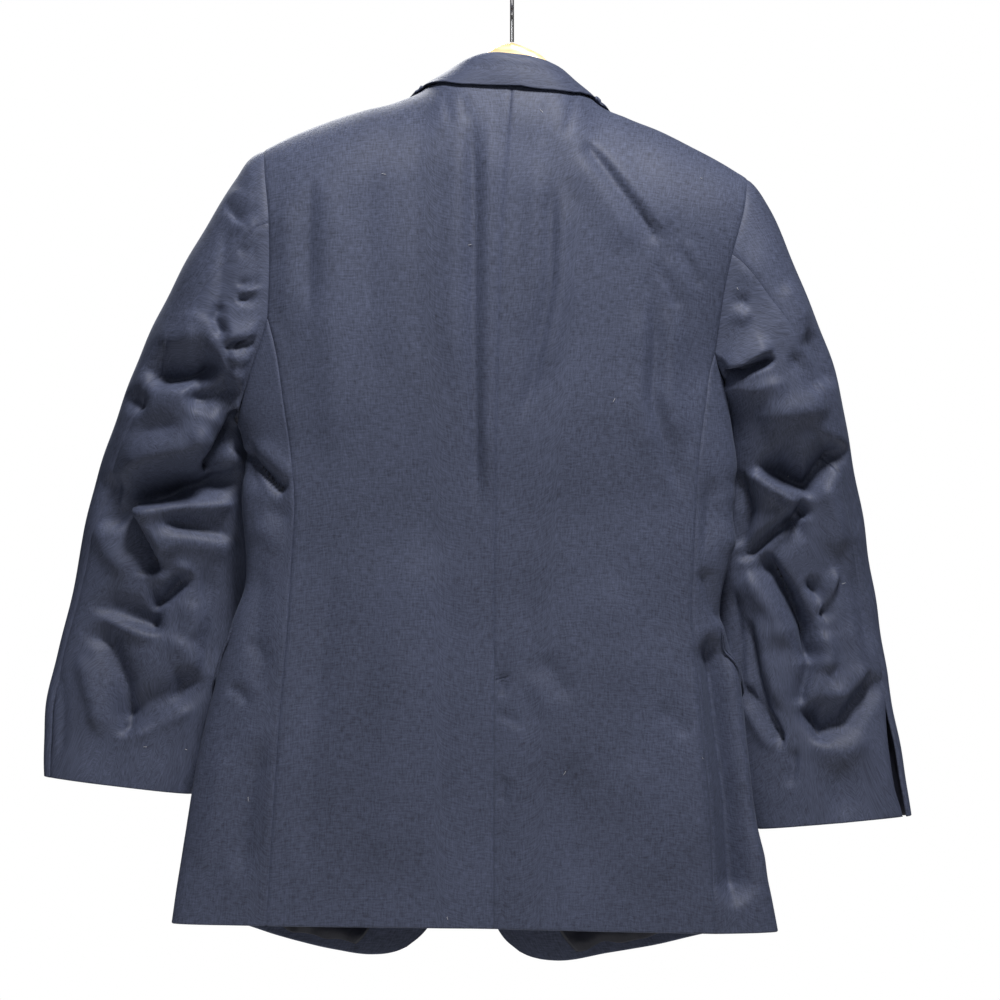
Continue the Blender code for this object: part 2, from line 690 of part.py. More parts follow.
def collar_half(half, rows, cut):
    """Sections of the collar from the back's middle to its front end on one side."""
    ways = np.linspace(0, 1, COLLAR_STEPS + 1)
    ahead = ways > COLLAR_NECK
    face = np.where(ahead, -1.0, 1.0)
    fold_flat = np.stack([rows.at("fold_out", ways), rows.at("fold_drop", ways)], axis=-1)
    edge_flat = np.stack([rows.at("edge_out", ways), rows.at("edge_drop", ways)], axis=-1)
    fold = np.stack([half.sign * fold_flat[:, 0], rows.at("fold_y", ways), -fold_flat[:, 1]], axis=-1)
    surface = shoulder_surface(half)
    lying, out = torso_frame(half.sign * edge_flat[:, 0], edge_flat[:, 1], face)
    edge = kept_off(lying, surface, COLLAR_LIFTS[-1])
    neck_out = np.minimum(ways / COLLAR_NECK, 1) * half.neck_out
    neck = torso(half.sign * neck_out, smooth(*np.array(half.neck, float).T, neck_out), 1.0)
    gorge = np.clip((ways - COLLAR_NECK) / (1 - COLLAR_NECK), 0, 1) * COLLAR_GORGE
    roll = half.front_edge.at(gorge)
    front = torso(half.sign * roll[:, 0], roll[:, 1], -1.0)
    base = np.where(ahead[:, None], front, neck)
    stand = fold - base
    reach = np.linalg.norm(stand, axis=1, keepdims=True)
    up = stand / reach
    off = np.cross(up, np.gradient(base, axis=0))
    off = off / np.linalg.norm(off, axis=1, keepdims=True)
    off = off * np.where(np.einsum("ij,ij->i", off, out) < 0, -1.0, 1.0)[:, None]
    rise = (LAY_GAP + 2.8 * np.exp(-(((ways - COLLAR_NECK + 0.05) / 0.13) ** 2)))[:, None]
    notch = ramp(ways, 0.82, 1.0)[:, None]
    settled = ramp(ways, 0.74, 0.88)[:, None]
    top = half.front_edge.at(cut["gorge"])
    tip = np.array(cut["tip"], float)
    falls = []
    for share, lift in zip((0.16, 0.38, 0.70), COLLAR_LIFTS):
        plain = fold_flat * (1 - share) + edge_flat * share
        end = top + (tip - top) * share * GORGE_REACH - (0, GORGE_GAP)
        flat = plain * (1 - notch) + end * notch
        resting, away = torso_frame(half.sign * flat[:, 0], flat[:, 1], -1.0)
        standing = fold * (1 - share) + edge * share + off * 3.4 * (1.2 - share)
        standing = standing * (1 - settled) + (resting + away * lift) * settled
        falls.append(kept_off(standing, surface, lift, ramp(ways, 0.66, 0.82)[:, None]))
    columns = [
        base + up * rise - off * WALL,
        base + up * np.maximum(reach * 0.5, rise + 0.8) - off * WALL,
        base + up * np.maximum(reach - 3.0, 2.2) - off * (WALL - 0.2),
        base + up * np.maximum(reach, 3.4) + off * 0.8,
        base + up * np.maximum(reach - 3.0, 0.4) + off * (WALL + 1.8),
        *falls,
        edge,
    ]
    return np.stack(columns, axis=1)


def collar_grid():
    """The whole collar: stand, fold and fall as one wall from end to end."""
    left = collar_half(LEFT, COLLAR_LEFT, LAPEL_LEFT)
    right = collar_half(RIGHT, COLLAR_RIGHT, LAPEL_RIGHT)
    middle = (left[:1] + right[:1]) / 2
    return np.concatenate([right[:0:-1], middle, left[1:]])


def jets(half):
    """The pocket's two jets, each a thin strip on the panels, from the back end forward."""
    pieces = []
    shares = np.linspace(0, 1, 13)
    level = POCKET_ROUTE.at("drop", shares)
    round_side = POCKET_ROUTE.at("round", shares)
    for offset in (-0.5, 0.5):
        columns = []
        for edge in (-0.5, 0.5):
            drop = level + (offset * 1.15 + edge) * JET_WIDTH
            turn = turn_round_side(half, round_side, drop)
            point = torso_round(half.sign, turn, drop)
            columns.append(point)
        grid = np.stack(columns, axis=1)
        columns.insert(1, grid.mean(axis=1))
        grid = np.stack(columns, axis=1)
        pieces.append(grid)
    return pieces


def turn_round_side(half, distance, drop):
    """The turn at a distance from the side line, measured round the body, back positive."""
    angles = np.linspace(-1.5, 1.5, 241)
    found = []
    for far, level in zip(distance, drop):
        line = torso_round(half.sign, angles, np.full(angles.shape, level))
        steps = np.linalg.norm(np.diff(line[:, :2], axis=0), axis=1)
        length = np.concatenate([[0], np.cumsum(steps)])
        length = length - np.interp(0, angles, length)
        found.append(np.interp(far, length, angles))
    return np.array(found)


def lining(half, front):
    """The lining of one front, from the facing to the side seam and from the hip to the hem."""
    piece = front[8:, 3:].copy()
    lift = np.linspace(0, 1, len(piece)) ** 6 * 9.0
    piece[..., 2] += lift[:, None]
    piece[:, -1] = piece[:, -2] * 0.12 + piece[:, -1] * 0.88
    return piece


def grid_normals(grid, away_from):
    """The outward unit normals of a grid, pointing away from the given points."""
    down = np.gradient(grid, axis=0)
    across = np.gradient(grid, axis=1)
    normal = np.cross(down, across)
    size = np.linalg.norm(normal, axis=-1, keepdims=True)
    normal = normal / np.maximum(size, 1e-9)
    if np.sum(normal * (grid - away_from)) < 0:
        normal = -normal
    return normal


def shared_normals(grids, normals):
    """Gives the points that two pieces share one normal, where the seam isn't an inner fold."""
    found = {}
    for name, grid in grids.items():
        for index in border(grid):
            key = tuple(np.round(grid[index] * 50).astype(int))
            found.setdefault(key, []).append((name, index))
    for users in found.values():
        if len(users) < 2:
            continue
        each = np.array([normals[name][index] for name, index in users])
        total = each.sum(axis=0)
        if (each @ each.T).min() < 0.25:
            continue
        for name, index in users:
            normals[name][index] = total / np.linalg.norm(total)


def border(grid):
    """The indices of a grid's edge points."""
    rows, columns = grid.shape[:2]
    edge = [(r, c) for r in range(rows) for c in (0, columns - 1)]
    return edge + [(r, c) for c in range(1, columns - 1) for r in (0, rows - 1)]


def seam_shrink(grid):
    """How each edge point moves into its own piece, so that neighbours keep the seam's gap."""
    move = np.zeros_like(grid)
    for axis in (0, 1):
        turned = np.swapaxes(grid, 0, axis)
        shift = np.swapaxes(move, 0, axis)
        for edge, inside in ((0, 1), (-1, -2)):
            tangent = np.gradient(turned[edge], axis=0)
            tangent = tangent / np.linalg.norm(tangent, axis=1, keepdims=True)
            aim = turned[inside] - turned[edge]
            aim = aim - tangent * np.sum(aim * tangent, axis=1, keepdims=True)
            aim = aim / np.linalg.norm(aim, axis=1, keepdims=True)
            shift[edge] += aim * SEAM_GAP / 2
    return move


def wall_mesh(grid, normal, wall, shrink=True):
    """The points and faces of a closed wall: the grid outside, moved in by the wall's thickness."""
    rows, columns = grid.shape[:2]
    outside = grid + (seam_shrink(grid) if shrink else 0)
    inside = outside - normal * wall
    points = np.concatenate([outside.reshape(-1, 3), inside.reshape(-1, 3)])
    count = rows * columns
    faces = []
    for r in range(rows - 1):
        for c in range(columns - 1):
            a = r * columns + c
            for face in ((a, a + 1, a + columns + 1), (a, a + columns + 1, a + columns)):
                faces.append(face)
                faces.append(tuple(count + i for i in reversed(face)))
    loop = [c for c in range(columns)]
    loop += [r * columns + columns - 1 for r in range(1, rows)]
    loop += [(rows - 1) * columns + c for c in range(columns - 2, -1, -1)]
    loop += [r * columns for r in range(rows - 2, 0, -1)]
    for here, there in zip(loop, loop[1:] + loop[:1]):
        faces.append((there, here, count + here, count + there))
    return points, faces


def signed_volume(points, faces):
    """Six times the volume inside the faces, negative when they point inwards."""
    total = 0.0
    for face in faces:
        for k in range(1, len(face) - 1):
            total += np.dot(points[face[0]], np.cross(points[face[k]], points[face[k + 1]]))
    return total


def material(name, colour, roughness, metallic=0.0):
    """A plain surface with the piece's colour."""
    made = bpy.data.materials.new(name)
    made.use_nodes = True
    shader = made.node_tree.nodes["Principled BSDF"]
    shader.inputs["Base Color"].default_value = (*colour, 1.0)
    shader.inputs["Roughness"].default_value = roughness
    shader.inputs["Metallic"].default_value = metallic
    return made


def add_solid(name, points, faces, look, parent, sharp=45):
    """Makes one object of a closed mesh given in millimetres, with its faces outwards."""
    if signed_volume(points, faces) < 0:
        faces = [tuple(reversed(face)) for face in faces]
    mesh = bpy.data.meshes.new(name)
    mesh.from_pydata((points * MM).tolist(), [], faces)
    mesh.shade_smooth()
    mesh.set_sharp_from_angle(angle=math.radians(sharp))
    solid = bpy.data.objects.new(name, mesh)
    bpy.context.scene.collection.objects.link(solid)
    solid.data.materials.append(material(name, *look))
    solid.parent = parent
    return solid


CLOTH = ((0.055, 0.066, 0.105), 0.75)
SATIN = ((0.02, 0.022, 0.035), 0.35)
HORN = ((0.03, 0.03, 0.04), 0.35)
WOOD = ((0.72, 0.55, 0.34), 0.45)
STEEL = ((0.75, 0.75, 0.76), 0.25, 1.0)


def add_cloth(parent):
    """All the cloth pieces, as walls on one common form."""
    grids = {}
    middle = {}
    for half, shape in ((LEFT, LEFT_SLEEVE), (RIGHT, RIGHT_SLEEVE)):
        back = back_panel(half)
        front = front_panel(half)
        side = side_panel(half)
        ring = armhole_ring(half, back, side, front)
        top, under = sleeve_pieces(half, shape, ring)
        open_cuff(half, top, under)
        rows = np.linspace(0, 1, SLEEVE_ROWS + 1)
        sleeve_middle = (
            sleeve_oval(half, shape, rows, 0 * rows + 0.5)
            + sleeve_oval(half, shape, rows, 0 * rows + 1.5)
        ) / 2
        for name, grid in (
            ("back", back), ("front", front), ("side_panel", side),
            ("top_sleeve", top), ("under_sleeve", under),
        ):
            grids[f"{name}_{half.name}"] = grid
            centre = sleeve_middle[:, None] if "sleeve" in name else body_middle(grid)
            middle[f"{name}_{half.name}"] = centre
    normals = {name: grid_normals(grid, middle[name]) for name, grid in grids.items()}
    for half in (LEFT, RIGHT):
        part_underarm(half, grids, normals)
    shared_normals(grids, normals)
    for name, grid in grids.items():
        points, faces = wall_mesh(grid, normals[name], WALL)
        add_solid(name, points, faces, CLOTH, parent)
    return grids, normals


def body_middle(grid):
    """The body's middle line beside each point of a grid."""
    middle = np.zeros_like(grid)
    middle[..., 0] = oval(-grid[..., 2])[0]
    middle[..., 2] = grid[..., 2]
    return middle


def part_underarm(half, grids, normals):
    """Keeps the sleeve's first rows off the body where the sleeve folds down beside it."""
    side = f"side_panel_{half.name}"
    under = f"under_sleeve_{half.name}"
    first = ARMHOLE_ROWS - HINDARM_STEP
    fade = 1 - ramp(np.linspace(0, 1, SLEEVE_ROWS + 1), 0.08, 0.36)
    for step in range(1, 2 * UNDERARM_COLUMNS):
        grids[under][:, first + step] += normals[side][0, step] * UNDERARM_GAP * fade[:, None]


def add_details(parent, grids, normals):
    """Lapels, collar, pocket jets and linings, made from the panels' points moved out or in."""
    for half, cut in ((LEFT, LAPEL_LEFT), (RIGHT, LAPEL_RIGHT)):
        grid = lapel(half, cut)
        normal = grid_normals(grid, body_middle(grid))
        add_solid(f"lapel_{half.name}", *wall_mesh(grid, normal, WALL), CLOTH, parent)
        for place, strip in zip(("upper", "lower"), jets(half)):
            normal = grid_normals(strip, body_middle(strip))
            raised = strip + normal * (JET_THICK + JET_GAP)
            mesh = wall_mesh(raised, normal, JET_THICK)
            add_solid(f"jet_{place}_{half.name}", *mesh, CLOTH, parent)
        front = f"front_{half.name}"
        outside = grids[front] - normals[front] * (WALL + LAY_GAP)
        inner = lining(half, outside)
        normal = grid_normals(inner, body_middle(inner))
        mesh = wall_mesh(inner, normal, LINING_WALL)
        add_solid(f"lining_{half.name}", *mesh, SATIN, parent)
    grid = collar_grid()
    steps = len(grid)
    way = np.gradient(grid, axis=0)
    across = np.gradient(grid, axis=1)
    normal = np.cross(way, across)
    normal = normal / np.linalg.norm(normal, axis=-1, keepdims=True)
    if normal[steps // 2, -1, 1] < 0:
        normal = -normal
    add_solid("collar", *wall_mesh(grid, normal, WALL), CLOTH, parent)


def add_turned(name, centre, profile, look, parent, sides=24):
    """A round piece with its axis along Y, from (radius, y) rows between two points on its axis."""
    points = [(centre[0], centre[1] + profile[0][1], centre[2])]
    for radius, y in profile[1:-1]:
        for k in range(sides):
            angle = 2 * math.pi * k / sides
            x = centre[0] + radius * math.cos(angle)
            points.append((x, centre[1] + y, centre[2] + radius * math.sin(angle)))
    points.append((centre[0], centre[1] + profile[-1][1], centre[2]))
    rings = len(profile) - 2
    last = len(points) - 1
    faces = []
    for k in range(sides):
        after = (k + 1) % sides
        faces.append((0, 1 + k, 1 + after))
        for ring in range(rings - 1):
            a = 1 + ring * sides
            faces.append((a + k, a + sides + k, a + sides + after, a + after))
        a = 1 + (rings - 1) * sides
        faces.append((a + k, last, a + after))
    add_solid(name, np.array(points, float), faces, look, parent, sharp=35)


def add_buttons(parent):
    """The two front buttons, on the left front along the front's middle line."""
    for number, (x, drop) in enumerate(BUTTON_PLACES, start=1):
        around = np.array([-1, -0.5, 0, 0.5, 1]) * BUTTON_RADIUS
        ahead = min(
            torso(np.array([x + dx]), np.array([drop + dz]), -1.0)[0, 1]
            for dx in around
            for dz in around
        )
        seat = ahead - LAY_GAP
        face = -BUTTON_THICK
        profile = [
            (0, face + 0.9), (BUTTON_RADIUS * 0.62, face + 0.9), (BUTTON_RADIUS * 0.72, face),
            (BUTTON_RADIUS * 0.92, face + 0.1), (BUTTON_RADIUS, face + 0.9),
            (BUTTON_RADIUS * 0.9, -0.5), (BUTTON_RADIUS * 0.5, 0), (0, 0),
        ]
        add_turned(f"button_{number}", (x, seat, -drop), profile, HORN, parent)


def add_wood(parent):
    """The hanger's wooden bar, swept from shoulder to shoulder through rounded sections."""
    sides = 14
    rings = []
    for rows, sign in ((WOOD_RIGHT, -1), (WOOD_LEFT, +1)):
        outs = np.linspace(rows.key[0], rows.key[-1], 15)
        outs = outs[::-1] if sign < 0 else outs[1:]
        for out in outs:
            top = rows.at("top", out)
            height = rows.at("height", out)
            thick = rows.at("thick", out)
            angle = 2 * np.pi * np.arange(sides) / sides
            y = thick * np.sign(np.sin(angle)) * np.abs(np.sin(angle)) ** 0.8
            z = height / 2 * np.sign(np.cos(angle)) * np.abs(np.cos(angle)) ** 0.8
            x = np.full(sides, sign * out)
            rings.append(np.stack([x, y, z - top - height / 2], axis=-1))
    rings = np.array(rings)
    points = rings.reshape(-1, 3)
    faces = []
    for ring in range(len(rings) - 1):
        for k in range(sides):
            after = (k + 1) % sides
            a = ring * sides
            faces.append((a + k, a + after, a + sides + after, a + sides + k))
    faces.append(tuple(reversed(range(sides))))
    faces.append(tuple(range(len(points) - sides, len(points))))
    add_solid("hanger_wood", points, faces, WOOD, parent)


def add_hook(parent):
    """The hanger's hook, a bent wire in the plane square to the bar."""
    radius = HOOK_INNER_RADIUS + HOOK_WIRE / 2
    centre = -HOOK_INNER_RADIUS
    route = []
    for degrees in range(205, -46, -10):
        angle = math.radians(degrees)
        route.append((0, radius * math.cos(angle), centre + radius * math.sin(angle)))
    route += [(0, 7.2, -36.5), (0, 2.6, -42.0), (0, 0.3, -48.0), (0, 0, -55)]
    route.append((0, 0, -WOOD_PEAK + SEAM_GAP))
    curve = bpy.data.curves.new("hanger_hook", "CURVE")
    curve.dimensions = "3D"
    curve.bevel_depth = HOOK_WIRE / 2 * MM
    curve.bevel_resolution = 2
    curve.use_fill_caps = True
    line = curve.splines.new("POLY")
    line.points.add(len(route) - 1)
    for point, place in zip(line.points, route):
        point.co = (*(value * MM for value in place), 1)
    hook = bpy.data.objects.new("hanger_hook", curve)
    bpy.context.scene.collection.objects.link(hook)
    hook.data.materials.append(material("hanger_hook", *STEEL))
    hook.parent = parent


def main():
    for old in list(bpy.data.objects):
        bpy.data.objects.remove(old)
    parent = bpy.data.objects.new("blazer", None)
    bpy.context.scene.collection.objects.link(parent)
    grids, normals = add_cloth(parent)
    add_details(parent, grids, normals)
    add_buttons(parent)
    add_wood(parent)
    add_hook(parent)


main()
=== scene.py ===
"""The looks of a dark blue worsted blazer on its wooden hanger, seen from behind.

Lengths in the tables are millimetres. "drop" is the distance below the point where the hook
hangs, and "out" is the distance from the middle line towards the side of the piece named.
+X is the wearer's left and +Y the wearer's back. A route of a fold is in pixels of the
photograph, because that is where the fold is seen.
"""

from __future__ import annotations

import logging
import math
from dataclasses import dataclass, field
from enum import Enum
from typing import Sequence

import bpy
import numpy as np
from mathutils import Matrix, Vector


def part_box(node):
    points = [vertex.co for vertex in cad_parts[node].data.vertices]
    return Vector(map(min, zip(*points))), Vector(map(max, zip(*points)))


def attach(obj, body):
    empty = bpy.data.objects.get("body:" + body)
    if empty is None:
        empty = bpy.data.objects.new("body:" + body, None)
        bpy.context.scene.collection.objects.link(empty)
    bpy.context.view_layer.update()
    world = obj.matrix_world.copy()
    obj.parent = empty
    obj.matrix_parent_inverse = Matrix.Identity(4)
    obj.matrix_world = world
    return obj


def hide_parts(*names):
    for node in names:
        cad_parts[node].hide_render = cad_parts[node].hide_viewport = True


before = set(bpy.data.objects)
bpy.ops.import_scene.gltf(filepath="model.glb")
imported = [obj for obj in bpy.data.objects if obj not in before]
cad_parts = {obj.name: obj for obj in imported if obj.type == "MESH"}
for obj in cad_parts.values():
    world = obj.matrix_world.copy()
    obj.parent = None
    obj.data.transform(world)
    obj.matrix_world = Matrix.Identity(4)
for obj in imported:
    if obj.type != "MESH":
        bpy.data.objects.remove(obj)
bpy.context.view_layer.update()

log = logging.getLogger("blazer")

MM = 0.001
PHOTO_SCALE = 0.95
PHOTO_MIDDLE = 512.0
PHOTO_ABOVE = 32.0

# Where the camera stands, in metres
CAMERA_X = 0.0114
CAMERA_Z = -0.5054
CAMERA_AWAY = 3.0

# The cloth's thickness, and how a seam sinks and swells beside its stitching
WALL = 1.9
LINING_WALL = 0.8
SEAM_DIP = 0.75
SLEEVE_DIP = 0.45
SEAM_WIDTH = 1.3
SEAM_SWELL = 0.22
SEAM_FLARE = 1.4

# The body's cross-section
OVAL_POWER = 2.6
SHOULDER_CAP = 85.0
CAP_POWER = 0.6
ARMHOLE_SHARE = 0.30
ARMHOLE_DEPTH = 0.6275
ARMHOLE_SCOOP = 9.0

# Where the sleeve's two seams meet the armhole, as shares of its length
ELBOW_SHARE = (5 / 8) ** 1.7
FOREARM_SHARE = (7 / 8) ** 1.7

# The section of a fold: how high it stands, how round it is and how far its foot reaches
FOLD_GAIN = 1.5
CREASE = 0.10
ROUNDED = 0.36
FOLD_REACH = 1.45
FOLD_FOOT = 4.2

# The vent, the fronts' lap and the buttons
VENT_TOP = 669.0
VENT_UNDERLAP = 32.0
VENT_SINK = 3.2
FRONT_LAP_SINK = 3.4
FRONT_HEM_EASE = 5.4
BUTTON_RADIUS = 10.0
BUTTON_PLACES = ((20.0, 556.0), (24.0, 652.0))
UNDERARM_DROP = {"left": 429.0, "right": 396.0}

# The least that a cut's size is given as: its width in metres and its share of its rectangle
NARROWEST_CUT = 0.0101
LEAST_AREA = 0.31

Array = np.ndarray
Rows = Sequence[Sequence[float]]


class Edge(Enum):
    """How a piece of cloth ends along one side."""

    SEAM = "sewn to its neighbour"
    FREE = "turned and pressed"
    HIDDEN = "under another piece"


class Slot(Enum):
    """The material slots of the record."""

    CLOTH = "cloth"
    LINING = "lining"
    BUTTONS = "buttons"
    WOOD = "wood"
    HOOK = "hook"


def smooth(keys: Sequence[float], values: Sequence[float], where: Array) -> Array:
    """Reads a cubic through a table's rows, held at its ends.

    Args:
        keys: the rows' places, rising.
        values: the value at each row.
        where: the places to read.

    Returns:
        The values there.
    """
    keys = np.asarray(keys, float)
    values = np.asarray(values, float)
    slope = np.gradient(values, keys)
    where = np.clip(where, keys[0], keys[-1])
    i = np.clip(np.searchsorted(keys, where, side="right") - 1, 0, len(keys) - 2)
    step = keys[i + 1] - keys[i]
    t = (where - keys[i]) / step
    back = 1 - t
    start = values[i] * (1 + 2 * t) * back**2 + slope[i] * step * t * back**2
    end = values[i + 1] * t**2 * (3 - 2 * t) - slope[i + 1] * step * t**2 * back
    return start + end


def ramp(where: Array, low: float, high: float) -> Array:
    """Gives 0 up to low and 1 from high on, soft between."""
    t = np.clip((np.asarray(where, float) - low) / (high - low), 0, 1)
    return t * t * (3 - 2 * t)


def ripple(x: Array, y: Array, size: float, seed: int) -> Array:
    """Gives a calm uneven field from -1 to 1, the same each run.

    Args:
        x: first coordinate.
        y: second coordinate.
        size: the width of one swell.
        seed: chooses the directions.

    Returns:
        The field's height at each place.
    """
    draw = np.random.default_rng(seed)
    total = np.zeros(np.broadcast(x, y).shape)
    for angle, phase, scale in draw.uniform((0, 0, 0.7), (math.pi, 6.283, 1.5), (7, 3)):
        along = x * math.cos(angle) + y * math.sin(angle)
        total = total + np.sin(along / (size * scale) * math.pi + phase)
    return total / 4.2


def unit(vectors: Array) -> Array:
    """Scales vectors to a length of 1."""
    return vectors / np.maximum(np.linalg.norm(vectors, axis=-1, keepdims=True), 1e-9)


def grid_normals(grid: Array) -> Array:
    """Gives the unit normals of a grid, all towards one side of it."""
    return unit(np.cross(np.gradient(grid, axis=0), np.gradient(grid, axis=1)))


class Table:
    """Rows of named columns, read along the first one on a smooth curve."""

    def __init__(self, columns: str, rows: Rows) -> None:
        """Keeps the rows under their columns' names.

        Args:
            columns: their names, the key's first.
            rows: the values.
        """
        names = columns.split()
        values = np.array(rows, float).T
        self.key = values[0]
        self.column = dict(zip(names, values))

    def at(self, name: str, where: Array) -> Array:
        """Reads one column."""
        return smooth(self.key, self.column[name], where)


class Path:
    """A smooth curve through points, walked from 0 to 1 by its length."""

    def __init__(self, points: Rows) -> None:
        """Keeps the points and the length up to each.

        Args:
            points: the points in their order.
        """
        self.points = np.array(points, float)
        steps = np.linalg.norm(np.diff(self.points, axis=0), axis=1)
        self.length = np.concatenate([[0], np.cumsum(steps)])

    def at(self, share: Array) -> Array:
        """Gives the points at these shares of the length.

        Args:
            share: shares of the length.

        Returns:
            The points there.
        """
        where = np.asarray(share, float) * self.length[-1]
        axes = [smooth(self.length, axis, where) for axis in self.points.T]
        return np.stack(axes, axis=-1)


@dataclass(frozen=True)
class Fold:
    """One fold of hanging cloth: a ridge, or a trough where its height is negative.

    The positive side of the route is on the left of the picture where it runs down, and below
    it where it runs to the right.
    """

    route: tuple[tuple[float, float], ...]
    height: float
    width: float
    other: float
    fade: float

    def lift(self, page_x: Array, page_y: Array) -> Array:
        """Works out how far the fold raises the cloth.

        Args:
            page_x: distance to the right on the photograph, in millimetres.
            page_y: distance down on the photograph, in millimetres.

        Returns:
            The height at each place.
        """
        points = np.array(self.route, float) * PHOTO_SCALE
        best = np.full(np.broadcast(page_x, page_y).shape, 1e9)
        side = np.zeros_like(best)
        place = np.zeros_like(best)
        done = 0.0
        for start, end in zip(points[:-1], points[1:]):
            run = end - start
            length = math.hypot(*run)
            along = ((page_x - start[0]) * run[0] + (page_y - start[1]) * run[1]) / length
            held = np.clip(along, 0, length)
            away_x = page_x - start[0] - held * run[0] / length
            away_y = page_y - start[1] - held * run[1] / length
            gap = np.hypot(away_x, away_y)
            across = (run[0] * (page_y - start[1]) - run[1] * (page_x - start[0])) / length
            nearer = gap < best
            best = np.where(nearer, gap, best)
            side = np.where(nearer, across, side)
            place = np.where(nearer, done + held, place)
            done += length
        fade = min(self.fade, done / 2)
        taper = ramp(place, 0, fade) * ramp(done - place, 0, fade)
        wide = self.width * (0.55 + 0.45 * taper)
        narrow = self.other * (0.55 + 0.45 * taper)
        share = best / np.where(side >= 0, wide, narrow) / FOLD_REACH
        rounding = ROUNDED if self.height > 0 else CREASE
        wall = np.logaddexp(0, FOLD_FOOT * (1 - np.sqrt(share**2 + rounding**2)))
        return self.height * taper * wall / math.log1p(math.exp(FOLD_FOOT * (1 - rounding)))


def folds(*rows: tuple) -> tuple[Fold, ...]:
    """Makes folds from rows of height, width, width beyond, fade and the route's points."""
    return tuple(Fold(row[4:], *row[:4]) for row in rows)


def fold_lift(x: Array, y: Array, drop: Array, folds: Sequence[Fold]) -> Array:
    """Adds up the folds at places given in the blazer's own millimetres.

    Args:
        x: distance towards the wearer's left.
        y: distance towards the camera.
        drop: distance below the hook's bearing.
        folds: the folds that may reach there.

    Returns:
        The height at each place.
    """
    nearer = 1 / (1 - y * MM / CAMERA_AWAY)
    middle, level = CAMERA_X / MM, -CAMERA_Z / MM
    page_x = PHOTO_MIDDLE * PHOTO_SCALE - (middle + (x - middle) * nearer)
    page_y = level + (drop - level) * nearer - PHOTO_ABOVE * PHOTO_SCALE
    total = np.zeros(np.broadcast(x, drop).shape)
    for fold in folds:
        total = total + fold.lift(page_x, page_y)
    return total


DEPTH = Table(
    "drop back front",
    [
        (60, 50, 48), (130, 54, 52), (200, 60, 57), (300, 62, 60), (420, 56, 58),
        (520, 46, 50), (600, 42, 47), (700, 39, 42), (800, 34, 37), (945, 28, 32),
    ],
)

CENTRE_BACK = Table(
    "drop x",
    [(110, 0), (163, 4), (224, 7), (303, 10), (458, 14), (562, 17), (657, 17.5), (915, 18.5)],
)


@dataclass(frozen=True)
class Half:
    """One side's outlines. Its sign is +1 on the wearer's left and -1 on the right."""

    name: str
    sign: int
    edge: Table
    ridge: Table
    neck: Table
    armhole: Path
    seam: Table
    front_edge: Path
    front_hem: Rows
    neck_out: float
    shoulder_out: float
    hem_drop: float
    centre_hem: float = 909.0


LEFT = Half(
    name="left",
    sign=+1,
    edge=Table("drop out", [
        (60, 268), (240, 268), (351, 268), (398, 266), (429, 262), (448, 256.5), (505, 257),
        (596, 256), (617, 264), (687, 283.5), (754, 300), (808, 308), (915, 325),
    ]),
    ridge=Table("out drop", [
        (0, 74), (30, 77), (50, 84), (65, 96), (80, 113), (108, 127), (144, 136.5),
        (183, 149.5), (214, 162.5), (236, 174), (275, 198),
    ]),
    neck=Table("out drop", [(0, 112), (40, 109), (65, 109.5), (80, 113)]),
    armhole=Path([
        (236, 174), (234, 198), (229, 239), (228, 265), (228, 291), (229, 318), (230, 334),
    ]),
    seam=Table("drop out", [
        (334, 230), (363, 222.5), (412, 215), (503, 205), (566, 208), (627, 212),
        (702, 218.5), (763, 223), (823, 227), (907, 232),
    ]),
    front_edge=Path([
        (80, 113), (66, 172), (50, 270), (28, 400), (2, 535), (3, 600), (6, 650),
        (14, 720), (32, 800), (56, 870), (76, 905), (87, 918), (101, 929),
    ]),
    front_hem=(
        (101, 929), (109, 932.5), (119, 935), (134.5, 936), (171, 931), (225, 918), (269, 908), (283, 906),
    ),
    neck_out=80,
    shoulder_out=236,
    hem_drop=907,
)

RIGHT = Half(
    name="right",
    sign=-1,
    edge=Table("drop out", [
        (60, 248), (211, 246), (256, 234), (293, 222), (328, 212), (367, 203), (384, 201),
        (410, 205), (442, 210), (474, 214), (514, 207), (550, 209), (590, 200), (612, 199),
        (668, 216), (742, 225), (808, 233), (920, 254),
    ]),
    ridge=Table("out drop", [
        (0, 74), (30, 82), (48, 92), (62, 108), (76, 125), (110, 143), (140, 155),
        (170, 170), (200, 186), (224, 201), (255, 222),
    ]),
    neck=Table("out drop", [(0, 112), (40, 114), (60, 117), (76, 125)]),
    armhole=Path([
        (224, 201), (218.5, 233), (212, 256), (207, 274), (199, 314), (195.5, 340), (192, 367),
    ]),
    seam=Table("drop out", [
        (367, 192), (386, 187), (415, 183), (467, 176), (520, 173.5), (572, 171), (618, 170),
        (655, 176), (707, 180), (783, 187), (912, 192),
    ]),
    front_edge=Path([
        (76, 125), (60, 185), (32, 300), (-2, 420), (-38, 535), (-43, 600), (-44, 650),
        (-40, 720), (-34, 800), (-27, 870), (-18, 903), (-7, 921), (7, 933),
    ]),
    front_hem=((7, 933), (15, 937), (25, 940), (41, 942), (95, 934), (136, 927), (190, 918), (212, 915)),
    neck_out=76,
    shoulder_out=224,
    hem_drop=915,
)

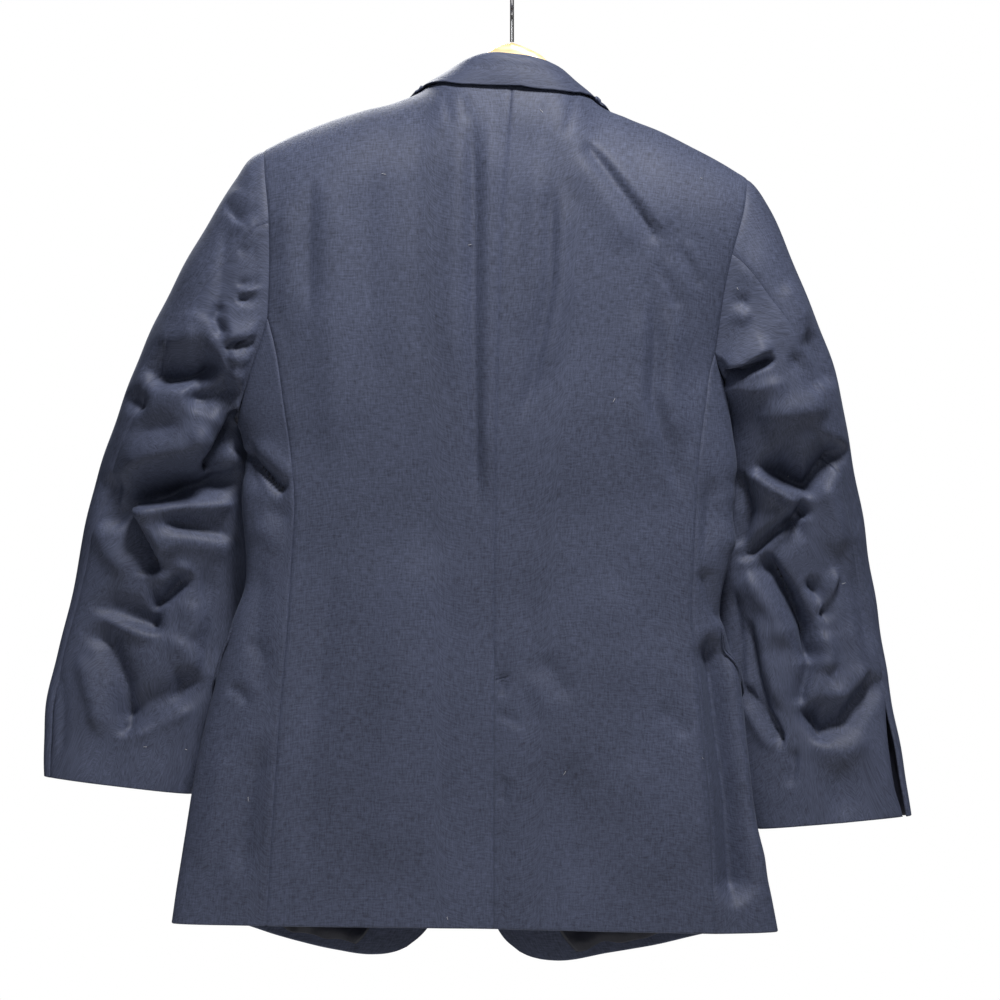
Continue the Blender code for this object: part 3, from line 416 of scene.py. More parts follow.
BACK_FOLDS = folds(
    # Beside the centre seam, from the collar down
    (-3.2, 6, 5, 70, (472, 96), (474, 200), (474, 330), (477, 520)),
    (2.6, 7, 9, 70, (489, 100), (490, 220), (489, 420), (490, 520)),
    (2.0, 12, 9, 60, (458, 110), (456, 230), (452, 400)),
    (-2.9, 7, 5, 45, (552, 172), (551, 285), (533, 383), (519, 430)),
    (2.4, 12, 9, 45, (563, 180), (562, 285), (545, 388)),
    (1.6, 9, 11, 40, (536, 150), (534, 270), (520, 350)),
    # From the right neck point down across the shoulder blade
    (-2.7, 7, 1.8, 12, (584, 139), (622, 188), (662, 243)),
    (2.0, 3, 12, 26, (592, 136), (632, 188), (674, 240)),
    (1.8, 14, 9, 30, (570, 150), (602, 196), (640, 252)),
    (-1.4, 2.6, 4, 9, (676, 244), (688, 262), (702, 288)),
    (1.0, 4, 4, 9, (683, 240), (696, 258), (708, 280)),
    (-1.2, 3, 5, 10, (652, 262), (668, 284), (680, 312)),
    (0.9, 4, 4, 10, (664, 256), (678, 276), (690, 302)),
    (-1.0, 4, 6, 12, (640, 274), (652, 296), (660, 326)),
    # Right shoulder blade down to the side seam
    (-3.4, 6, 9, 40, (650, 297), (656, 335), (653, 399), (672, 462), (687, 505)),
    (2.6, 8, 11, 36, (664, 300), (671, 340), (668, 395), (686, 455)),
    (1.8, 10, 8, 36, (636, 300), (641, 350), (638, 410), (652, 470)),
    # Left shoulder blade
    (-1.9, 9, 8, 40, (312, 172), (309, 240), (310, 322)),
    (1.8, 14, 16, 60, (330, 170), (328, 260), (334, 400), (330, 470)),
    (1.6, 9, 12, 40, (284, 190), (287, 270), (284, 330)),
    (-1.4, 16, 18, 60, (372, 140), (368, 260), (376, 420)),
    (-1.2, 14, 16, 60, (420, 128), (416, 260), (420, 380)),
    # Pinches under the collar
    (-1.1, 3, 4, 10, (443, 88), (446, 104), (451, 126)),
    (-1.0, 3, 4, 9, (462, 92), (464, 108), (466, 124)),
    (-1.1, 4, 4, 12, (574, 90), (572, 112), (564, 140)),
    (-0.8, 5, 5, 14, (548, 94), (546, 120), (543, 150)),
    # Waist and skirt
    (-1.6, 3, 5, 8, (495, 712), (508, 719), (524, 729)),
    (-2.2, 9, 12, 22, (535, 652), (556, 676), (575, 706)),
    (1.4, 9, 8, 22, (520, 668), (540, 694), (558, 726)),
    (-2.0, 8, 10, 16, (653, 706), (672, 718), (693, 740)),
    (2.2, 18, 20, 60, (600, 560), (622, 640), (640, 720)),
    (2.8, 20, 26, 70, (420, 520), (402, 620), (392, 760), (386, 900)),
    (-2.6, 12, 18, 70, (452, 560), (446, 680), (440, 860)),
    (-2.8, 14, 18, 70, (335, 560), (318, 680), (306, 880)),
    (-2.6, 14, 20, 50, (566, 740), (574, 820), (580, 905)),
    (2.6, 16, 20, 50, (628, 740), (640, 830), (648, 910)),
    (-2.0, 12, 16, 60, (520, 560), (530, 640), (528, 760)),
    # Beside the vent
    (-2.0, 3, 4, 6, (501, 672), (503, 684), (502, 697)),
    (-1.8, 3, 4, 7, (501, 775), (504, 790), (502, 806)),
    # Left side panel
    (-7.5, 2.6, 8, 10, (238, 450), (262, 473), (286, 497)),
    (2.6, 9, 9, 16, (248, 444), (272, 462), (294, 486)),
    (-3.2, 8, 6, 14, (241, 456), (252, 474), (264, 492)),
    (-2.2, 7, 9, 12, (262, 508), (278, 514), (292, 523)),
    (1.6, 9, 9, 16, (250, 520), (272, 540), (290, 550)),
    (-1.8, 9, 11, 30, (262, 560), (256, 640), (262, 700)),
    (-2.4, 4, 6, 8, (224, 688), (238, 692), (250, 706)),
    (-1.6, 5, 6, 8, (246, 640), (258, 650), (268, 668)),
    (-4.0, 10, 14, 40, (262, 730), (248, 800), (238, 890)),
    (2.0, 12, 12, 36, (226, 740), (214, 800), (200, 880)),
    # Right side panel and the fold that falls from the waist
    (-4.0, 4, 9, 14, (700, 566), (708, 592), (716, 612), (730, 626)),
    (3.0, 10, 8, 20, (728, 480), (735, 520), (730, 560)),
    (-2.0, 6, 8, 26, (712, 470), (708, 520), (704, 560)),
    (-15.0, 13, 15, 30, (712, 628), (722, 720), (731, 800), (736, 912)),
    (3.2, 8, 10, 50, (734, 640), (744, 730), (752, 810), (760, 905)),
    (2.2, 8, 9, 50, (696, 640), (698, 740), (700, 880)),
    (-2.6, 8, 9, 40, (738, 660), (750, 740), (764, 860)),
)

# The fronts are hidden in the photograph, so their folds follow those of the back
FRONT_FOLDS = folds(
    (-3.4, 12, 16, 50, (306, 190), (328, 260), (334, 420)),
    (2.4, 18, 20, 60, (350, 210), (372, 300), (386, 470)),
    (-3.2, 14, 12, 50, (700, 220), (684, 300), (668, 430)),
    (2.2, 18, 18, 60, (650, 240), (636, 330), (616, 480)),
    (-3.4, 9, 13, 34, (452, 545), (400, 505), (334, 462)),
    (2.4, 12, 14, 40, (440, 566), (392, 570), (312, 596)),
    (-2.4, 8, 11, 34, (462, 570), (420, 600), (372, 655)),
    (-3.2, 12, 9, 34, (544, 548), (600, 505), (660, 470)),
    (2.2, 14, 12, 40, (542, 572), (604, 580), (670, 606)),
    (-2.2, 9, 9, 34, (540, 590), (580, 630), (628, 690)),
    (2.4, 22, 24, 60, (354, 690), (344, 800), (336, 910)),
    (-1.8, 20, 20, 60, (402, 700), (398, 800), (392, 900)),
    (2.4, 22, 24, 60, (606, 700), (618, 800), (626, 900)),
    (-1.8, 18, 18, 60, (562, 720), (566, 810), (560, 900)),
    (-1.6, 16, 16, 60, (428, 200), (424, 300), (440, 420)),
)

LEFT_SLEEVE_FOLDS = folds(
    # Small folds along the armhole
    (-2.8, 5, 5, 10, (228, 213), (246, 212), (266, 206)),
    (-2.6, 4, 5, 10, (222, 200), (236, 214), (250, 231)),
    (2.2, 6, 6, 12, (224, 192), (244, 196), (262, 196)),
    (2.2, 6, 7, 12, (232, 228), (248, 226), (264, 222)),
    (-1.6, 5, 12, 20, (226, 216), (223, 260), (216, 318)),
    (-1.4, 5, 6, 10, (234, 247), (248, 250), (262, 246)),
    (-1.9, 2.6, 4, 8, (234, 284), (250, 284), (268, 280)),
    (-2.4, 3.2, 5, 8, (234, 299), (250, 300), (268, 296)),
    (1.2, 3, 3, 8, (234, 291), (250, 291), (266, 288)),
    (-3.2, 5, 6, 9, (222, 300), (214, 316), (220, 330), (232, 334)),
    (1.8, 12, 9, 14, (196, 306), (192, 330), (200, 344)),
    # The crease that points at the armhole
    (-4.6, 2.4, 3.2, 14, (222, 349), (242, 345), (270, 341)),
    (2.2, 6, 8, 12, (218, 337), (244, 334), (268, 330)),
    (3.2, 7, 5, 12, (224, 358), (244, 356), (262, 356)),
    # The wide hollow below it
    (-12.5, 9, 22, 20, (138, 366), (160, 374), (184, 375), (206, 372), (226, 366)),
    (-8.0, 8, 20, 18, (180, 396), (208, 402), (230, 398), (246, 392)),
    (2.4, 8, 12, 20, (150, 336), (176, 341), (206, 342)),
    (2.8, 6, 6, 10, (226, 372), (246, 376), (252, 392)),
    (-4.4, 6, 12, 10, (122, 396), (134, 403), (146, 412)),
    # The black wedge under the arm
    (-12.0, 5, 4.5, 10, (243, 410), (230, 432), (213, 462), (218, 474)),
    (3.6, 9, 10, 20, (222, 404), (206, 430), (188, 452)),
    (3.4, 7, 5, 10, (244, 452), (232, 462), (222, 478)),
    # The deep fold across the elbow
    (-17.0, 6, 17, 22, (116, 503), (150, 496), (182, 491), (214, 488), (248, 476)),
    (4.4, 8, 16, 26, (116, 478), (150, 458), (184, 450), (222, 446)),
    (3.4, 8, 4.5, 22, (130, 516), (168, 508), (206, 506), (244, 502)),
    (-4.4, 5, 12, 18, (160, 522), (196, 528), (240, 537)),
    (2.6, 12, 9, 26, (150, 536), (196, 542), (240, 552)),
    (-2.2, 10, 12, 26, (120, 436), (150, 428), (186, 424)),
    # The fold that falls from its outer end
    (-8.4, 12, 2.6, 12, (120, 496), (136, 528), (159, 574)),
    (4.0, 4, 12, 16, (128, 494), (146, 524), (168, 566)),
    (-6.0, 9, 9, 16, (112, 470), (109, 500), (112, 534)),
    (3.0, 9, 9, 20, (96, 520), (110, 552), (134, 580)),
    # Lower arm
    (-7.4, 4, 14, 12, (146, 608), (166, 600), (194, 576)),
    (2.6, 7, 7, 14, (150, 588), (170, 578), (192, 562)),
    (-8.0, 5, 16, 18, (88, 604), (124, 618), (166, 632)),
    (3.4, 8, 6, 20, (92, 606), (126, 624), (160, 640)),
    (-7.4, 4, 14, 14, (82, 630), (101, 646), (116, 682), (120, 726)),
    (-8.4, 5, 18, 16, (114, 734), (142, 722), (186, 700), (206, 676)),
    (3.0, 9, 8, 24, (74, 650), (88, 672), (98, 706), (100, 740)),
    (3.4, 9, 7, 22, (120, 738), (152, 716), (198, 702)),
    (3.0, 9, 9, 18, (164, 634), (186, 652), (200, 676)),
    (-3.0, 9, 9, 30, (206, 560), (216, 620), (208, 680)),
    (2.2, 9, 9, 16, (184, 596), (192, 620), (190, 644)),
    (-1.8, 5, 6, 20, (56, 664), (60, 710), (56, 764)),
)

RIGHT_SLEEVE_FOLDS = folds(
    # The tuck that points at the armhole
    (-6.0, 3.0, 5, 12, (712, 377), (742, 373), (778, 358)),
    (3.4, 5, 11, 14, (716, 366), (744, 360), (776, 345)),
    (2.4, 13, 7, 18, (716, 390), (752, 392), (790, 382)),
    (-1.8, 5, 6, 10, (716, 262), (728, 250), (744, 244)),
    (1.6, 5, 6, 10, (720, 280), (734, 274), (750, 276)),
    (-2.6, 4, 6, 10, (716, 306), (734, 301), (752, 303)),
    (2.0, 7, 5, 12, (716, 318), (736, 314), (756, 318)),
    (2.2, 7, 9, 18, (782, 280), (800, 308), (812, 330)),
    (-5.0, 9, 5, 16, (806, 326), (820, 352), (836, 390)),
    (-2.8, 7, 8, 16, (788, 350), (808, 372), (822, 398)),
    (3.4, 10, 13, 22, (752, 420), (790, 414), (836, 404)),
    # The dark hollow at the elbow with its light ridge
    (-12.0, 5, 19, 16, (756, 462), (784, 478), (812, 488), (836, 466), (854, 446)),
    (4.4, 5, 5, 12, (750, 470), (774, 490), (802, 508)),
    (2.6, 8, 6, 14, (744, 470), (760, 490), (776, 508)),
    (-7.0, 5, 5, 5, (796, 503), (803, 510), (808, 520)),
    (-9.0, 3.5, 14, 16, (804, 508), (770, 532), (734, 560)),
    (4.0, 9, 5, 18, (800, 520), (768, 545), (738, 570)),
    (3.0, 8, 9, 22, (822, 476), (834, 516), (838, 560)),
    (-2.6, 6, 8, 20, (846, 446), (852, 490), (860, 540)),
    # The long dark fold down the forearm
    (-12.0, 9, 5, 14, (758, 552), (788, 592), (806, 624), (815, 668)),
    (4.4, 13, 6, 22, (744, 566), (774, 608), (794, 652)),
    (-4.6, 5, 6, 12, (806, 576), (822, 596), (828, 624)),
    (4.0, 4, 4, 12, (838, 566), (828, 592), (818, 616)),
    (3.4, 6, 9, 14, (818, 628), (826, 650), (826, 676)),
    (-5.0, 7, 5, 10, (813, 660), (801, 690), (799, 708)),
    (-9.0, 5, 16, 16, (796, 706), (822, 735), (854, 724), (888, 676)),
    (4.0, 8, 9, 18, (820, 694), (844, 694), (870, 664)),
    (3.0, 12, 8, 24, (806, 738), (836, 754), (874, 738)),
    (-2.8, 7, 9, 30, (852, 560), (864, 610), (872, 660)),
    (2.2, 8, 8, 20, (846, 616), (856, 650), (858, 690)),
    # Creases beside the body
    (-4.8, 3.4, 5, 12, (740, 682), (758, 712), (783, 749)),
    (-3.8, 5, 4, 20, (746, 614), (754, 667), (765, 712), (783, 748)),
    (3.4, 6, 10, 24, (758, 612), (770, 668), (786, 716)),
    (2.6, 7, 5, 16, (744, 700), (758, 724), (776, 752)),
    (-2.8, 3.4, 5, 9, (792, 746), (792, 768), (787, 788)),
    (-4.0, 7, 7, 26, (732, 580), (736, 640), (738, 700)),
    (-5.0, 8, 7, 16, (738, 468), (746, 510), (736, 552)),
    (-1.8, 12, 12, 26, (838, 760), (846, 800), (842, 826)),
)

SLEEVE_SHAPE = Table(
    "row outer inner depth middle",
    [
        (0.00, 0.000, 0.000, 42, 0), (0.12, 0.120, 0.008, 45, -1), (0.27, 0.280, 0.020, 48, -9),
        (0.40, 0.430, 0.045, 47, -22), (0.52, 0.545, 0.210, 40, -38),
        (0.66, 0.675, 0.435, 30, -47), (0.80, 0.800, 0.660, 24, -47),
        (0.92, 0.925, 0.875, 18, -44), (1.00, 1.000, 1.000, 15, -42),
    ],
)


@dataclass(frozen=True)
class SleeveCut:
    """One sleeve's outlines from behind, where its elbow seam runs, its cuff vent and folds."""

    outer: Path
    inner: Path
    hindarm: Rows
    gape: float
    folds: tuple[Fold, ...]


SLEEVES = {
    "left": SleeveCut(
        outer=Path([
            (236, 174), (247, 180), (262, 200), (293, 250), (323, 305), (347, 353), (370, 414),
            (392, 476), (409, 548), (424, 624), (439.5, 681), (444.5, 735), (444, 768),
        ]),
        inner=Path([
            (259, 429), (254, 442), (247, 468), (242, 505), (238, 550), (237, 600),
            (248, 660), (271, 725), (292, 768), (304, 785),
        ]),
        hindarm=((0.2, 0.30), (0.4, 0.25), (0.6, 0.17), (0.75, 0.13), (1.0, 0.12)),
        gape=2.4,
        folds=LEFT_SLEEVE_FOLDS,
    ),
    "right": SleeveCut(
        outer=Path([
            (224, 201), (232, 209), (243, 226), (267, 279), (292, 342), (309, 391), (317, 433),
            (330, 503), (341.5, 578), (351, 633), (361, 700), (372, 757), (378.5, 805),
        ]),
        inner=Path([
            (195, 396), (195, 408), (195, 432), (196, 468), (188, 520), (184, 580),
            (194, 650), (208, 720), (221, 782), (233, 818),
        ]),
        hindarm=((0.2, 0.30), (0.4, 0.25), (0.6, 0.20), (0.75, 0.13), (1.0, 0.10)),
        gape=9.0,
        folds=RIGHT_SLEEVE_FOLDS,
    ),
}


class BodyForm:
    """The outer surface of the blazer's body: flattened ovals closed over the shoulders."""

    SIDE_SHARE = 0.9995
    WIDE_SWELL = 60
    SMALL_SWELL = 22

    @staticmethod
    def oval(drop: Array) -> tuple[Array, Array]:
        """Gives the middle and half width of the body at a level.

        Args:
            drop: distance below the hook's bearing.

        Returns:
            The middle and the half width.
        """
        left = LEFT.edge.at("out", drop)
        right = -RIGHT.edge.at("out", drop)
        return (left + right) / 2, (left - right) / 2

    @staticmethod
    def depth(drop: Array, face: Array | float) -> Array:
        """Gives how far the body stands out behind, or in front, at a level."""
        return np.where(np.asarray(face) > 0, DEPTH.at("back", drop), DEPTH.at("front", drop))

    @staticmethod
    def cap(x: Array, drop: Array) -> Array:
        """Tells how far the body has opened below the shoulder ridge, from 0 to 1.

        Args:
            x: distance towards the wearer's left.
            drop: distance below the hook's bearing.

        Returns:
            The share, which is 0 on the ridge.
        """
        left = LEFT.ridge.at("drop", np.maximum(x, 0))
        right = RIGHT.ridge.at("drop", np.maximum(-x, 0))
        below = drop - np.where(x >= 0, left, right)
        share = np.clip(below / SHOULDER_CAP, 0, 1)
        return (1 - (1 - share) ** 2) ** CAP_POWER

    def surface(self, x: Array, drop: Array, face: Array | float) -> Array:
        """Gives the surface at x and drop.

        Args:
            x: distance towards the wearer's left.
            drop: distance below the hook's bearing.
            face: +1 for the back and -1 for the front.

        Returns:
            Points with a last axis of three.
        """
        middle, half = self.oval(drop)
        share = np.clip(np.abs(x - middle) / half, 0, self.SIDE_SHARE)
        rise = (1 - share**OVAL_POWER) ** (1 / OVAL_POWER)
        y = face * self.depth(drop, face) * rise * self.cap(x, drop)
        return self._folded(x, y, drop, share, rise, face)

    def around(self, sign: int, turn: Array, drop: Array) -> Array:
        """Gives the surface by its turn: pi/2 at the back's middle, 0 at the side.

        Args:
            sign: +1 on the wearer's left.
            turn: the turn round the oval, negative in front.
            drop: distance below the hook's bearing.

        Returns:
            Points with a last axis of three.
        """
        middle, half = self.oval(drop)
        share = np.abs(np.cos(turn)) ** (2 / OVAL_POWER)
        rise = np.abs(np.sin(turn)) ** (2 / OVAL_POWER)
        x = middle + sign * half * share
        face = np.where(turn > 0, 1.0, -1.0)
        y = face * self.depth(drop, face) * rise * self.cap(x, drop)
        return self._folded(x, y, drop, share, rise, face)

    def _folded(
        self, x: Array, y: Array, drop: Array, share: Array, rise: Array, face: Array | float
    ) -> Array:
        """Moves points out along their level's normal by the folds and a slight unevenness.

        Args:
            x: distance towards the wearer's left.
            y: distance towards the camera.
            drop: distance below the hook's bearing.
            share: share of the half width.
            rise: share of the depth.
            face: +1 for the back and -1 for the front.

        Returns:
            The moved points.
        """
        middle, half = self.oval(drop)
        depth = self.depth(drop, face)
        out_x = np.sign(x - middle) * share ** (OVAL_POWER - 1) / half
        out_y = face * rise ** (OVAL_POWER - 1) / depth
        size = np.hypot(out_x, out_y)
        opened = ramp(self.cap(x, drop), 0.05, 0.6)
        behind = ramp(rise * face, -0.3, 0.3)
        back = fold_lift(x, y, drop, BACK_FOLDS) + self._uneven(x, drop, 3)
        front = fold_lift(x, y, drop, FRONT_FOLDS) + self._uneven(x, drop, 8)
        height = FOLD_GAIN * (back * behind + front * (1 - behind)) * opened
        x = x + out_x / size * height
        y = y + out_y / size * height
        return np.stack(np.broadcast_arrays(x, y, -drop), axis=-1)

    def _uneven(self, x: Array, drop: Array, seed: int) -> Array:
        """Gives the small swells of cloth that has been worn."""
        wide = 0.7 * ripple(x, drop * 0.6, self.WIDE_SWELL, seed)
        return wide + 0.2 * ripple(x, drop * 0.8, self.SMALL_SWELL, seed + 1)

    def turn_of(self, half: Half, out: Array, drop: Array) -> Array:
        """Finds the turn round the body's oval at which it is this far out.

        Args:
            half: the side.
            out: distance from the middle line.
            drop: distance below the hook's bearing.

        Returns:
            The turn.
        """
        middle, width = self.oval(drop)
        share = np.clip(np.abs(half.sign * out - middle) / width, 0, self.SIDE_SHARE)
        return np.arccos(share ** (OVAL_POWER / 2))

    def frame(self, x: Array, drop: Array, face: Array | float) -> tuple[Array, Array]:
        """Gives points of the surface and the outward directions there.

        Args:
            x: distance towards the wearer's left.
            drop: distance below the hook's bearing.
            face: +1 for the back and -1 for the front.

        Returns:
            The points and the unit normals.
        """
        step = 1.5
        point = self.surface(x, drop, face)
        across = self.surface(x + step, drop, face) - self.surface(x - step, drop, face)
        down = self.surface(x, drop + step, face) - self.surface(x, drop - step, face)
        out = np.cross(across, down)
        out = out * np.where(out[..., 1] * face < 0, -1.0, 1.0)[..., None]
        return point, unit(out)


BODY = BodyForm()


def crowded(count: int, ends: tuple[float, ...] = (0.0014, 0.004, 0.008, 0.0135)) -> Array:
    """Gives shares from 0 to 1, even but closer together at both ends.

    Args:
        count: the number of even steps between.
        ends: the first shares after each end.

    Returns:
        The shares, rising.
    """
    inner = np.linspace(0.02, 0.98, count)
    near = np.array(ends)
    return np.concatenate([[0], near, inner, 1 - near[::-1], [1]])


def armhole_shares() -> Array:
    """Gives the places down an armhole, crowded at the ridge and at the sleeve's seams.

    Returns:
        The shares, rising.
    """
    even = np.linspace(0, 1, 57) ** 1.7
    beside = np.array([-0.014, -0.006, 0, 0.006, 0.014])
    at_seams = [ELBOW_SHARE + beside, FOREARM_SHARE + beside, [0.988, 0.996]]
    return np.unique(np.round(np.concatenate([even, *at_seams]), 5))


HOLE = armhole_shares()
ELBOW_INDEX = int(np.argmin(np.abs(HOLE - ELBOW_SHARE)))
FOREARM_INDEX = int(np.argmin(np.abs(HOLE - FOREARM_SHARE)))
BELOW = np.concatenate([np.linspace(0, 0.984, 168), [0.9885, 0.993, 0.9965, 0.9985, 1]])[1:]
DOWN = np.concatenate([HOLE * ARMHOLE_SHARE, ARMHOLE_SHARE + (1 - ARMHOLE_SHARE) * BELOW])
ACROSS = crowded(96)
FRONT_ACROSS = crowded(62)
UNDER = crowded(54, (0.003, 0.008, 0.016))
SLEEVE_ROWS = np.concatenate(
    [[0, 0.0008, 0.002, 0.004, 0.0065, 0.01], np.linspace(0.0145, 0.99, 186), [0.994, 0.997, 0.999, 1]]
)


def coons(top: Array, bottom: Array, inner: Array, outer: Array, across: Array, down: Array) -> Array:
    """Fills a patch between its four edges.

    Args:
        top: points across the top.
        bottom: points across the bottom.
        inner: points down the first side.
        outer: points down the last side.
        across: the shares of the columns.
        down: the shares of the rows.

    Returns:
        A grid of points.
    """
    a = across[None, :, None]
    d = down[:, None, None]
    flat = (1 - d) * top[None] + d * bottom[None]
    flat = flat + (1 - a) * inner[:, None] + a * outer[:, None]
    flat = flat - (1 - d) * ((1 - a) * top[0] + a * top[-1])
    return flat - d * ((1 - a) * bottom[0] + a * bottom[-1])


class PanelForm:
    """The body's three panels of one side as grids of points."""

    NECK_SHARE = 0.25
    AHEAD = 30
    AHEAD_AT_TOP = 22
    AHEAD_EASE = 130

    def __init__(self, half: Half) -> None:
        """Keeps the side's outlines."""
        self.half = half

    def top_edge(self, across: Array) -> Array:
        """Gives the back neck and then the shoulder, out to the shoulder point.

        Args:
            across: the shares of the columns.

        Returns:
            Flat points.
        """
        half = self.half
        neck_part = np.clip(across / self.NECK_SHARE, 0, 1) * half.neck_out
        beyond = np.clip((across - self.NECK_SHARE) / (1 - self.NECK_SHARE), 0, 1)
        out = neck_part + beyond * (half.shoulder_out - half.neck_out)
        neck = half.neck.at("drop", neck_part)
        drop = np.where(across <= self.NECK_SHARE, neck, half.ridge.at("drop", out))
        return np.stack([out, drop], axis=-1)

    def outer_edge(self, front: bool) -> Array:
        """Gives the outer edge, down the armhole and then the side seam.

        Args:
            front: whether it is the front panel's.

        Returns:
            Flat points.
        """
        half = self.half
        hole = half.armhole.at(HOLE)
        start = hole[-1, 1]
        drops = start + (half.hem_drop - start) * BELOW
        seam = np.stack([half.seam.at("out", drops), drops], axis=-1)
        if front:
            scoop = ARMHOLE_SCOOP * np.sin(math.pi * HOLE)
            ahead = self.front_seam(drops)
            lean = (self.front_seam(start) - half.seam.at("out", start)) * HOLE**3
            hole = hole + np.stack([lean - scoop, np.zeros(len(HOLE))], axis=-1)
            seam = np.stack([ahead, drops], axis=-1)
        return np.concatenate([hole, seam])

    def front_seam(self, drops: Array) -> Array:
        """Gives where the front meets the side panel, a little forward of the side line.

        Args:
            drops: distances below the hook's bearing.

        Returns:
            Its distance from the middle line.
        """
        start = self.half.armhole.points[-1, 1]
        ease = ramp(drops, start, start + self.AHEAD_EASE)
        return self.half.edge.at("out", drops) - self.AHEAD * ease - self.AHEAD_AT_TOP * (1 - ease)

    def back(self) -> Array:
        """Makes one back panel. Below the vent's top the right one goes on under the left.

        Returns:
            A grid of points.
        """
        half = self.half
        top = self.top_edge(ACROSS)
        outer = self.outer_edge(front=False)
        centre_drop = top[0, 1] + (half.centre_hem - top[0, 1]) * DOWN
        centre_out = half.sign * CENTRE_BACK.at("x", centre_drop)
        inner = np.stack([centre_out, centre_drop], axis=-1)
        neck = ACROSS <= self.NECK_SHARE
        top[neck, 0] += centre_out[0] * (1 - ACROSS[neck] / self.NECK_SHARE)
        a = ACROSS[:, None]
        bottom = (1 - a) * inner[-1] + a * outer[-1]
        flat = coons(top, bottom, inner, outer, ACROSS, DOWN)
        sink = np.zeros(flat.shape[:2])
        if half is RIGHT:
            lap = ramp(centre_drop, VENT_TOP - 4, VENT_TOP + 10)[:, None] * VENT_UNDERLAP
            flat[..., 0] -= lap * np.maximum(1 - ACROSS * 3, 0)
            near = 1 - ramp(flat[..., 0] - centre_out[:, None], 1, 30)
            sink = VENT_SINK * near * ramp(flat[..., 1], VENT_TOP - 30, VENT_TOP + 6)
        grid = BODY.surface(half.sign * flat[..., 0], flat[..., 1], 1.0)
        grid[..., 1] -= sink
        return grid

    def front(self) -> Array:
        """Makes one front panel, from the roll line and front edge out to the side.

        Returns:
            A grid of points.
        """
        half = self.half
        across = FRONT_ACROSS
        top = self.top_edge(self.NECK_SHARE + across * (1 - self.NECK_SHARE))
        outer = self.outer_edge(front=True)
        inner = half.front_edge.at(DOWN)
        hem = Path(list(half.front_hem[:-1]) + [tuple(outer[-1])])
        bottom = hem.at(across)
        flat = coons(top, bottom, inner, outer, across, DOWN)
        flat[..., 1] += FRONT_HEM_EASE * ramp(flat[..., 1], 790, 925) * (1 - ramp(across, 0.55, 1.0))
        return self.on_front(flat)

    def on_front(self, flat: Array) -> Array:
        """Lays flat points on the front, the right one sunk where the left one laps over it.

        Args:
            flat: flat points.

        Returns:
            Their places on the front.
        """
        grid = BODY.surface(self.half.sign * flat[..., 0], flat[..., 1], -1.0)
        if self.half is RIGHT:
            near = 1 - ramp(flat[..., 0], -10, 60)
            grid[..., 1] += FRONT_LAP_SINK * near * ramp(flat[..., 1], 380, 470)
        return grid

    def side(self) -> Array:
        """Makes the panel under the arm, from the back seam round to the front seam.

        Returns:
            A grid of points.
        """
        half = self.half
        first = len(HOLE) - 1
        back = self.outer_edge(front=False)[first:]
        front = self.outer_edge(front=True)[first:]
        start = BODY.turn_of(half, back[:, 0], back[:, 1])
        end = -BODY.turn_of(half, front[:, 0], front[:, 1])
        turn = start[:, None] * (1 - UNDER) + end[:, None] * UNDER
        drop = back[:, 1][:, None] * (1 - UNDER) + front[:, 1][:, None] * UNDER
        scoop = (UNDERARM_DROP[half.name] - back[0, 1]) * np.sin(math.pi * UNDER) ** 0.8
        fade = (1 - np.concatenate([[0], BELOW]))[:, None]
        return BODY.around(half.sign, turn, drop + scoop * fade)


